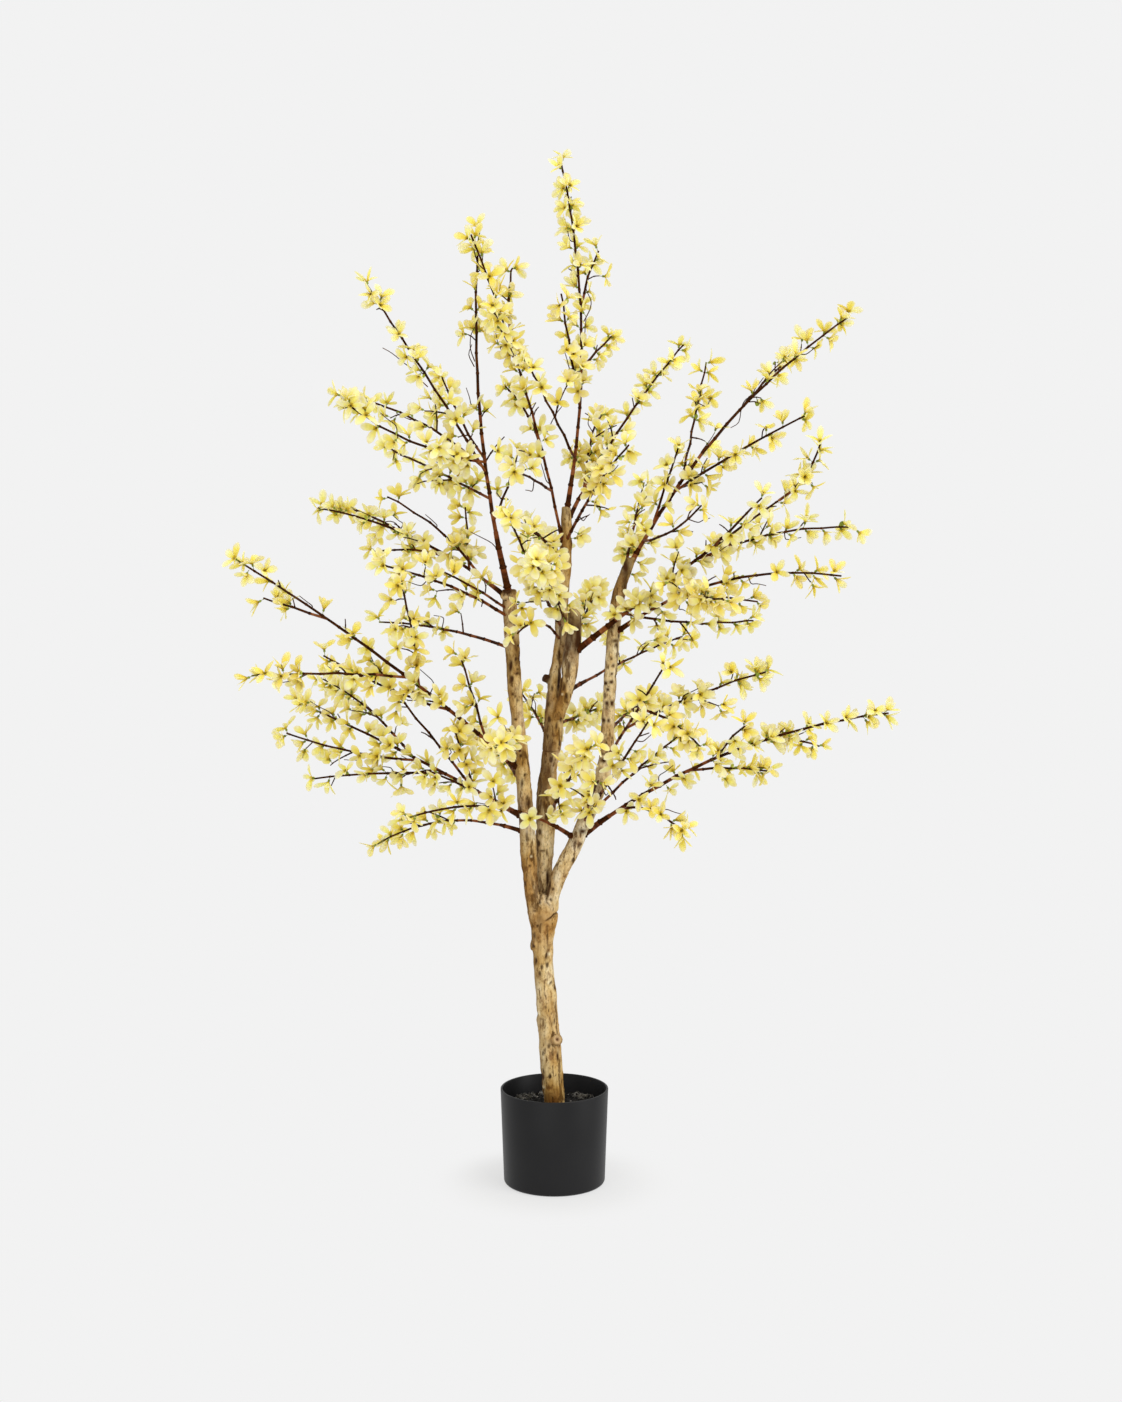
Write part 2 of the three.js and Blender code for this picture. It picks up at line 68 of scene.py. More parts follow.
lamps_on_floor = 0
for name, comes_from, strength, spread in LAMPS:
    bpy.ops.object.light_add(type="SUN", location=comes_from)
    lamp = bpy.context.object
    lamp.name, lamp.data.energy, lamp.data.angle = name, strength, math.radians(spread)
    lamp.rotation_euler = Vector(comes_from).to_track_quat("Z", "Y").to_euler()
    lamps_on_floor += strength / math.pi * Vector(comes_from).normalized().z


TURN = 2 * math.pi
bench = {}  # its "tree" is the newest finish's, where the helpers below put their nodes


def paint(code):
    """The linear colour of a six-figure paint code. A number is a plain grey."""
    if not isinstance(code, str):
        return (code, code, code, 1)
    parts = [int(code[i:i + 2], 16) / 255 for i in (0, 2, 4)]
    return tuple(c / 12.92 if c < 0.04045 else ((c + 0.055) / 1.055) ** 2.4 for c in parts) + (1,)


def new_finish(name, roughness, gloss, **constants):
    """A material whose shader holds these constants, the same all over the piece."""
    finish = bpy.data.materials.new(name)
    finish.use_nodes = True
    bench["tree"] = finish.node_tree
    shader = finish.node_tree.nodes["Principled BSDF"]
    constants.update(Roughness=roughness, Specular_IOR_Level=gloss)
    for socket, value in constants.items():
        shader.inputs[socket.replace("_", " ")].default_value = value
    return finish


def add_node(kind, settings=(), **inputs):
    """Adds a shader node. An input that is a socket is linked, and any other is set."""
    node = bench["tree"].nodes.new("ShaderNode" + kind)
    for key, value in dict(settings).items():
        setattr(node, key, value)
    for key, value in inputs.items():
        socket = node.inputs[int(key[1:]) if key[1:].isdigit() else key.replace("_", " ")]
        if isinstance(value, bpy.types.NodeSocket):
            bench["tree"].links.new(value, socket)
        else:
            socket.default_value = value
    return node


def measure(operation, first, second=0.0, third=0.0):
    return add_node("Math", {"operation": operation}, _0=first, _1=second, _2=third).outputs[0]


def feed(socket, value):
    """Leads a value into the newest finish's shader."""
    bench["tree"].links.new(value, bench["tree"].nodes["Principled BSDF"].inputs[socket])


bpy.ops.mesh.primitive_plane_add(size=FLOOR_SIZE)
floor = bpy.context.object
floor.name = floor.data.name = "floor"
floor.data.materials.append(new_finish("floor_paint", 1.0, 0.0, Emission_Color=(1, 1, 1, 1)))
pot_distance = add_node("VectorMath", {"operation": "LENGTH"}, _0=add_node("TexCoord").outputs["Object"])
shadow_share = add_node(
    "MapRange", {"interpolation_type": "SMOOTHERSTEP"}, Value=pot_distance.outputs["Value"],
    From_Min=SHADOW_REACH[0], From_Max=SHADOW_REACH[1], To_Min=FLOOR_ALBEDO, To_Max=0).outputs["Result"]
feed("Base Color", shadow_share)
feed("Emission Strength",
     measure("MULTIPLY_ADD", shadow_share, -(STUDIO_GREY + lamps_on_floor), STUDIO_GREY))

# ---- Pot -------------------------------------------------------------------------------------
# A plain round pot of injection-moulded black plastic with a satin skin: a slightly tapered wall
# 3 mm thick, a rounded lip, a rounded foot and a shallow recess under its base.

MM = 0.001
POT_HEIGHT, POT_RIM_RADIUS, POT_BASE_RADIUS = 142, 80, 75
POT_WALL, POT_FLOOR, POT_SIDES = 3, 4, 128
POT_LIP, POT_FOOT_EDGE, POT_RECESS, POT_RECESS_INSET = 1.1, 5, 1.2, 11
NEAR = 1  # a corner counts as on a level when it is this near to it


def deselect_all():
    bpy.ops.object.select_all(action="DESELECT")


def pick(piece, kind, wanted):
    """In edit mode: selects the faces or edges whose corners all pass `wanted`, in mm."""
    bpy.ops.mesh.select_mode(type={"faces": "FACE", "edges": "EDGE"}[kind])
    bpy.ops.mesh.select_all(action="DESELECT")
    mesh = bmesh.from_edit_mesh(piece.data)
    for part in getattr(mesh, kind):
        part.select_set(all(wanted(corner.co / MM) for corner in part.verts))
    bmesh.update_edit_mesh(piece.data)


def raise_cone(name, sides, low_radius, high_radius, height, middle, rotation=(0, 0, 0)):
    """A closed stump of a cone, in mm, as the object at hand."""
    deselect_all()
    bpy.ops.mesh.primitive_cone_add(
        vertices=sides, radius1=low_radius * MM, radius2=high_radius * MM, depth=height * MM,
        end_fill_type="NGON", location=np.array(middle) * MM, rotation=rotation)
    cone = bpy.context.object
    cone.name = cone.data.name = name
    bpy.ops.object.transform_apply()
    return cone


def patches(scale, stretch=(1, 1, 1), detail=3.0, roughness=0.55, shift=0.0):
    """The value of a noise on the piece's own coordinates, in metres: `scale` patches a metre."""
    place = add_node("TexCoord").outputs["Object"]
    place = add_node("Mapping", Vector=place, Scale=stretch, Location=(shift,) * 3).outputs[0]
    cloud = add_node("TexNoise", Vector=place, Scale=scale, Detail=detail, Roughness=roughness)
    return cloud.outputs["Fac"]


def shades(share, *stops):
    """Colours along a scale from 0 to 1: each stop is a share and a paint."""
    ramp = add_node("ValToRGB", Fac=share)
    elements = ramp.color_ramp.elements
    while len(elements) < len(stops):
        elements.new(0.5)
    for element, (at, code) in zip(elements, stops):
        element.position, element.color = at, paint(code)
    return ramp.outputs["Color"]


def set_surface(colour, height, depth_mm):
    """Colours the newest finish and gives it a fine relief of that depth."""
    feed("Base Color", colour)
    feed("Normal", add_node("Bump", Strength=1.0, Distance=depth_mm * MM, Height=height).outputs["Normal"])


pot = raise_cone(
    "pot_shell", POT_SIDES, POT_BASE_RADIUS, POT_RIM_RADIUS, POT_HEIGHT, (0, 0, POT_HEIGHT / 2))
bpy.ops.object.mode_set(mode="EDIT")
pick(pot, "faces", lambda at: at.z > POT_HEIGHT - NEAR)
bpy.ops.mesh.inset(thickness=POT_WALL * MM)
bpy.ops.mesh.extrude_region_move(
    TRANSFORM_OT_translate={"value": (0, 0, (POT_FLOOR - POT_HEIGHT) * MM)})
narrowing = (POT_BASE_RADIUS - POT_WALL) / (POT_RIM_RADIUS - POT_WALL)
bpy.ops.transform.resize(value=(narrowing, narrowing, 1), center_override=(0, 0, POT_FLOOR * MM))
pick(pot, "edges", lambda at: at.z > POT_HEIGHT - NEAR
     and math.hypot(at.x, at.y) > POT_RIM_RADIUS - 2 * POT_WALL)
bpy.ops.mesh.bevel(offset=POT_LIP * MM, segments=3)
pick(pot, "edges", lambda at: at.z < NEAR and math.hypot(at.x, at.y) > POT_BASE_RADIUS - NEAR)
bpy.ops.mesh.bevel(offset=POT_FOOT_EDGE * MM, segments=6)
pick(pot, "faces", lambda at: at.z < 0.1 * NEAR)
bpy.ops.mesh.inset(thickness=POT_RECESS_INSET * MM)
bpy.ops.mesh.extrude_region_move(TRANSFORM_OT_translate={"value": (0, 0, POT_RECESS * MM)})
bpy.ops.mesh.select_all(action="SELECT")
bpy.ops.mesh.normals_make_consistent(inside=False)
bpy.ops.object.mode_set(mode="OBJECT")
bpy.ops.object.shade_smooth_by_angle(angle=math.radians(34))

pot.data.materials.append(new_finish("pot_plastic", 0.5, 0.22))
pot_cloud = patches(9, detail=2)
set_surface(shades(pot_cloud, (0.3, "0F0F10"), (0.7, "161617")), patches(1500, detail=1), 0.05)
feed("Roughness", measure("MULTIPLY_ADD", pot_cloud, 0.16, 0.36))
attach(pot, "root")
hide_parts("pot")

# ---- Fill ------------------------------------------------------------------------------------
# Cement cast round the foot of the trunk to weight the pot, dressed with glued dark gravel and
# grey moss: a low rough mound, loose chips on it, and pale dry fibres in a few clumps.

FILL_TOP, FILL_EDGE, FILL_BOTTOM = 116.5, 113.5, 4.3
FILL_EDGE_RADIUS, FILL_BOTTOM_RADIUS = 75.4, 71.8
FILL_SIDES, FILL_RINGS, FILL_RING_WIDTH, FILL_ROUGHNESS = 72, 17, 4.3, 1.9
FILL_SEED, CHIP_COUNT, CHIP_SIZES, GREY_CHIPS = 11, 1500, (1.0, 2.6), 0.07
FIBRE_COUNT, FIBRE_SIZES, FIBRE_RADIUS, FIBRE_STOPS = 420, (4, 13), 0.28, (-0.5, -0.2, 0.15, 0.5)
MOSS_CLUMPS = [(-44, 44, 17), (42, 50, 17), (-10, 62, 12), (5, -50, 22), (-58, -12, 12), (58, -8, 12)]


def seeded(seed):
    """The plant's own dealing rule: the same seed always deals the same numbers, from 0 to 1."""
    prime = 2147483647
    state = [(seed * 7919 + 104729) % prime]

    def deal():
        state[0] = state[0] * 16807 % prime
        return state[0] / prime
    return deal


def between(ends, share):
    return ends[0] + (ends[1] - ends[0]) * share


def fill_height(x, y):
    """The level of the mound there, in mm."""
    rise = max(0.0, 1 - math.hypot(x, y) / FILL_EDGE_RADIUS)
    stones = noise.noise(Vector((x, y, 3)) / 7) + 0.6 * noise.noise(Vector((x, y, 9)) / 3)
    mound_height = FILL_EDGE + (FILL_TOP - FILL_EDGE) * min(1, 1.5 * rise)
    return mound_height + FILL_ROUGHNESS * stones * min(1, 9 * rise)


def clouded(name, roughness, gloss, scale, tones, relief_scale, depth_mm, details=(3.0, 3.0)):
    """A finish in soft patches of a few tones, with a fine relief."""
    finish = new_finish(name, roughness, gloss)
    set_surface(shades(patches(scale, detail=details[0]), *tones),
                patches(relief_scale, detail=details[1]), depth_mm)
    return finish


def new_heap():
    """Holds the corners, faces and finishes of many small shapes that become one piece."""
    return {"corners": [], "faces": [], "finishes": [], "count": 0}


def add_shape(heap, corners, faces, finish=0):
    start = heap["count"]
    heap["corners"].append(np.asarray(corners, dtype=float))
    heap["faces"].extend(tuple(start + i for i in face) for face in faces)
    heap["finishes"].extend([finish] * len(faces) if isinstance(finish, int) else finish)
    heap["count"] = start + len(corners)


def make_piece(name, heap, finishes, sharp_degrees=None):
    """Joins a heap of shapes, in mm, into one piece with these finishes."""
    mesh = bpy.data.meshes.new(name)
    mesh.from_pydata(np.concatenate(heap["corners"]) * MM, [], heap["faces"])
    mesh.polygons.foreach_set("material_index", np.array(heap["finishes"], dtype=np.int32))
    mesh.polygons.foreach_set("use_smooth", np.ones(len(mesh.polygons), dtype=bool))
    for finish in finishes:
        mesh.materials.append(finish)
    mesh.update()
    piece = bpy.data.objects.new(name, mesh)
    scene.collection.objects.link(piece)
    deselect_all()
    piece.select_set(True)
    bpy.context.view_layer.objects.active = piece
    if sharp_degrees:
        bpy.ops.object.shade_smooth_by_angle(angle=math.radians(sharp_degrees))
    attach(piece, "root")
    return piece


def add_tube(heap, path, radii, sides, finish=0):
    """A closed round tube along a path, with a radius at each of its points."""
    path, radii = np.asarray(path, dtype=float), np.asarray(radii, dtype=float)
    along = np.gradient(path, axis=0)
    along /= np.linalg.norm(along, axis=1)[:, None]
    chord = path[-1] - path[0]
    lead = np.eye(3)[np.argmin(np.abs(chord))]
    side = lead - along * (along @ lead)[:, None]
    side /= np.linalg.norm(side, axis=1)[:, None]
    up = np.cross(along, side)
    turns = np.arange(sides) * TURN / sides
    rings = (path[:, None] + radii[:, None, None] * (
        np.cos(turns)[None, :, None] * side[:, None] + np.sin(turns)[None, :, None] * up[:, None]))
    ring_finishes = [finish] * len(path) if isinstance(finish, int) else finish
    faces, marks = [tuple(range(sides))[::-1]], [ring_finishes[0]]
    for ring in range(len(path) - 1):
        low, high = ring * sides, (ring + 1) * sides
        for i in range(sides):
            j = (i + 1) % sides
            faces.append((low + i, low + j, high + j, high + i))
        marks += [ring_finishes[ring]] * sides
    faces.append(tuple(range((len(path) - 1) * sides, len(path) * sides)))
    add_shape(heap, rings.reshape(-1, 3), faces, marks + marks[-1:])


mound = raise_cone(
    "fill_mound", FILL_SIDES, FILL_BOTTOM_RADIUS, FILL_EDGE_RADIUS, FILL_EDGE - FILL_BOTTOM,
    (0, 0, (FILL_EDGE + FILL_BOTTOM) / 2))
bpy.ops.object.mode_set(mode="EDIT")
pick(mound, "faces", lambda at: at.z > FILL_EDGE - NEAR)
for _ in range(FILL_RINGS):
    bpy.ops.mesh.inset(thickness=FILL_RING_WIDTH * MM)
bpy.ops.object.mode_set(mode="OBJECT")
for corner in mound.data.vertices:
    at = corner.co / MM
    if at.z > FILL_EDGE - NEAR:
        corner.co.z = fill_height(at.x, at.y) * MM
bpy.ops.object.shade_smooth_by_angle(angle=math.radians(50))

mound_finish = clouded(
    "dark_gravel", 0.95, 0.2, 260, [(0.36, "0E0D0C"), (0.6, "23211F"), (0.78, "4A4743")],
    700, 0.8, details=(5, 4))
mound.data.materials.append(mound_finish)
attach(mound, "root")
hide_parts("pot_fill")

PEBBLE = [(0, 0, 1), (0.9, 0, 0.3), (0.3, 0.85, 0.35), (-0.75, 0.5, 0.25), (-0.7, -0.55, 0.3),
          (0.3, -0.9, 0.25), (0.5, 0.4, -0.7), (-0.6, 0.1, -0.7), (0.2, -0.6, -0.7)]
PEBBLE_FACES = [(0, 1, 2), (0, 2, 3), (0, 3, 4), (0, 4, 5), (0, 5, 1), (1, 6, 2), (2, 6, 7), (2, 7, 3),
                (3, 7, 4), (4, 7, 8), (4, 8, 5), (5, 8, 1), (1, 8, 6), (6, 8, 7)]
chips, fibres = new_heap(), new_heap()
deal = seeded(FILL_SEED)
for number in range(CHIP_COUNT):
    far, turn = (FILL_EDGE_RADIUS - 2) * math.sqrt(deal()), TURN * deal()
    x, y = far * math.cos(turn), far * math.sin(turn)
    size = between(CHIP_SIZES, deal() ** 2)
    spin, flat = TURN * deal(), 0.5 + 0.4 * deal()
    corners = np.array(PEBBLE) * size * np.array([1, 0.6 + 0.4 * deal(), flat])
    turned = np.column_stack([corners[:, 0] * math.cos(spin) - corners[:, 1] * math.sin(spin),
                              corners[:, 0] * math.sin(spin) + corners[:, 1] * math.cos(spin),
                              corners[:, 2]])
    add_shape(chips, turned + (x, y, fill_height(x, y) + 0.3 * size), PEBBLE_FACES,
              1 if deal() < GREY_CHIPS else 0)
for number in range(FIBRE_COUNT):
    x, y, spread = MOSS_CLUMPS[number % len(MOSS_CLUMPS)]
    turn, far = TURN * deal(), spread * math.sqrt(deal())
    x, y = x + far * math.cos(turn), y + far * math.sin(turn)
    size = between(FIBRE_SIZES, deal())
    turn, lift, bend = TURN * deal(), 1.5 + 4.5 * deal(), 0.5 * deal()
    path = []
    for share in FIBRE_STOPS:
        way = turn + bend * 4 * share * share
        path.append((x + size * share * math.cos(way), y + size * share * math.sin(way), 0))
    if max(math.hypot(px, py) for px, py, _ in path) > FILL_EDGE_RADIUS - 1:
        continue
    level = fill_height(x, y)
    path = [(px, py, level + lift * (0.25 - share * share) * 4 - 0.3)
            for (px, py, _), share in zip(path, FIBRE_STOPS)]
    add_tube(fibres, path, [FIBRE_RADIUS] * 4, 3)
grey_chip_finish = clouded(
    "grey_gravel", 0.9, 0.2, 300, [(0.3, "5E5B56"), (0.7, "8B8781")], 900, 0.2)
moss_finish = clouded("dry_moss", 0.95, 0.1, 120, [(0.35, "4F4D46"), (0.65, "96928A")], 1200, 0.1)
gravel = make_piece("gravel_chips", chips, [mound_finish, grey_chip_finish], sharp_degrees=20)
moss = make_piece("moss_fibres", fibres, [moss_finish])

# ---- Trunk and stems -------------------------------------------------------------------------
# Real dried hardwood branches with their thin bark on, glued and pinned together where the three
# stems leave the trunk, and wedged upright in the cement. Side branches are sawn off short.

# Each row of a stem: x, y, z of its middle, and its radius there.
STEMS = {
    "trunk": [
        (1, 0, 105, 13.8), (-5.2, 0, 190, 15.9), (-12.7, 0, 285, 14.4), (-17, 0, 340, 13.8),
        (-17, 0, 370, 15.4), (-15, -2, 425, 21.5)],
    "left_stem": [
        (-29, -9, 400, 9), (-34, -9, 450, 10), (-37.5, -9.5, 490, 10.8), (-41, -10, 556, 10.3),
        (-53, -12, 690, 8.8), (-59, -14, 757, 9.4), (-65, -12, 880, 9.8)],
    "centre_stem": [
        (-18, 9, 400, 9.4), (-16, 10, 450, 10.6), (-13, 13, 534, 13.4), (-11.5, 15, 577, 15),
        (-8.5, 18, 615, 11.6), (-2, 21, 664, 14), (-1, 23, 700, 12.4), (1, 26, 759, 8.2),
        (7, 27, 785, 8.1), (10, 28, 815, 8.3), (11, 28, 850, 8.3), (17, 30, 937, 8.2),
        (17, 30, 1000, 6.2)],
    "right_stem": [
        (-5, -10, 400, 9.2), (-3, -10, 430, 9.6), (3.5, -10, 455, 11), (12, -10, 474, 12.6),
        (27, -9, 503, 11.6), (47, -8, 547, 11), (73, -2, 617, 9.8), (80, 4, 719, 8.6),
        (86, 8, 807, 8.6), (93, 8, 871, 9.2), (111, 4, 926, 6.4)],
    "centre_fork": [
        (4, 16, 690, 8.8), (16, 9, 727, 9.8), (22, 6.5, 760, 11.4), (25, 5, 790, 11.4),
        (29.5, 3, 818, 10), (29, 3, 846, 8)],
}
# Stubs: the stem they stand on, height, heading round from +X, reach, radius, sawn or healed over.
STUBS = [
    ("trunk", 212, -60, 22.5, 8, "sawn"), ("trunk", 355, 195, 14.5, 10, "healed"),
    ("centre_stem", 745, 200, 16.5, 5.5, "healed"), ("left_stem", 868, -120, 16, 6, "healed"),
    ("right_stem", 655, 160, 15, 6, "sawn")]
STUB_FLARE, STUB_RISE, STUB_SIDES = 0.25, 0.35, 16
STEM_SIDES, STEM_STEP = 22, 22
# Where the three stems start inside the trunk, slimmer and nearer to its middle line.
ROOT_LEVEL, ROOT_AT_X, ROOT_DRAW_X, ROOT_DRAW_Y, ROOT_SLIMMING = 372, -7, 0.6, 0.5, 0.8
# The rings that round off two blunt ends inside their neighbours.
CAPS = {"trunk": [(-15, -2, 434, 15)], "centre_fork": [(27, 3, 852, 4)]}
WOOD_GRAIN_SIZE = 1.45  # of the fused surface


def stem_point(rows, share):
    """A point and radius along a stem: a smooth curve through the rows' middles."""
    place = min(max(share, 0.0), 1.0) * (len(rows) - 1)
    row = min(int(place), len(rows) - 2)
    t = place - row
    points = np.array([row[:3] for row in rows], dtype=float)
    before = points[row - 1] if row else 2 * points[0] - points[1]
    after = points[row + 2] if row + 2 < len(rows) else 2 * points[-1] - points[-2]
    first, second = points[row], points[row + 1]
    start_way, end_way = (second - before) / 2, (after - first) / 2
    middle = (first + start_way * t + (3 * (second - first) - 2 * start_way - end_way) * t ** 2
              + (2 * (first - second) + start_way + end_way) * t ** 3)
    return middle, rows[row][3] + (rows[row + 1][3] - rows[row][3]) * t


def share_at_height(rows, height):
    low, high = 0.0, 1.0
    for _ in range(40):
        half = (low + high) / 2
        if stem_point(rows, half)[0][2] < height:
            low = half
        else:
            high = half
    return low


def raise_limb(name, rings):
    """A round limb as by hand: a disc, extruded ring by ring and brought to each ring's size."""
    deselect_all()
    x, y, z, radius = rings[0]
    bpy.ops.mesh.primitive_circle_add(
        vertices=STEM_SIDES, radius=radius * MM, fill_type="NGON", location=(x * MM, y * MM, z * MM))
    limb = bpy.context.object
    limb.name = limb.data.name = name
    bpy.ops.object.transform_apply()
    bpy.ops.object.mode_set(mode="EDIT")
    bpy.ops.mesh.select_mode(type="FACE")
    bpy.ops.mesh.select_all(action="SELECT")
    for before, after in zip(rings, rings[1:]):
        step = [(after[i] - before[i]) * MM for i in range(3)]
        bpy.ops.mesh.extrude_region_move(TRANSFORM_OT_translate={"value": step})
        size = after[3] / before[3]
        bpy.ops.transform.resize(value=(size, size, 1), center_override=[c * MM for c in after[:3]])
    bpy.ops.mesh.select_all(action="SELECT")
    bpy.ops.mesh.normals_make_consistent(inside=False)
    bpy.ops.object.mode_set(mode="OBJECT")
    return limb


def level_way(turn, rise=0):
    """The way that heads round from +X by that angle, and rises so much a millimetre."""
    return np.array([math.cos(turn), math.sin(turn), rise])


def unit(way):
    return way / np.linalg.norm(way)


limbs, stub_ends = [], []
for name, rows in STEMS.items():
    count = round((rows[-1][2] - rows[0][2]) / STEM_STEP)
    rings = []
    for step in range(count + 1):
        middle, radius = stem_point(rows, step / count)
        rings.append((*middle, radius))
    rings += CAPS.get(name, [])
    if name in ("left_stem", "centre_stem", "right_stem"):
        x, y, z, radius = rings[0]
        rings.insert(0, (
            x * ROOT_DRAW_X + ROOT_AT_X, y * ROOT_DRAW_Y, ROOT_LEVEL, radius * ROOT_SLIMMING))
    limbs.append(raise_limb(name + "_wood", rings))
for on, height, heading, reach, radius, end in STUBS:
    middle = stem_point(STEMS[on], share_at_height(STEMS[on], height))[0]
    out = level_way(math.radians(heading), STUB_RISE)
    limbs.append(raise_cone(
        "stub", STUB_SIDES, radius * (1 + STUB_FLARE), radius, reach * math.hypot(1, STUB_RISE),
        middle + out * reach / 2, Vector(out).to_track_quat("Z", "Y").to_euler()))
    if end == "sawn":
        stub_ends.append((middle + reach * out, unit(out), radius))
deselect_all()
for limb in limbs:
    limb.select_set(True)
wood = limbs[0]
bpy.context.view_layer.objects.active = wood
bpy.ops.object.join()
wood.name = wood.data.name = "trunk_and_stems"
wood.data.remesh_voxel_size = WOOD_GRAIN_SIZE * MM
bpy.ops.object.voxel_remesh()
rounding = wood.modifiers.new("rounding", "SMOOTH")
rounding.factor, rounding.iterations = 0.5, 7
bpy.ops.object.modifier_apply(modifier="rounding")

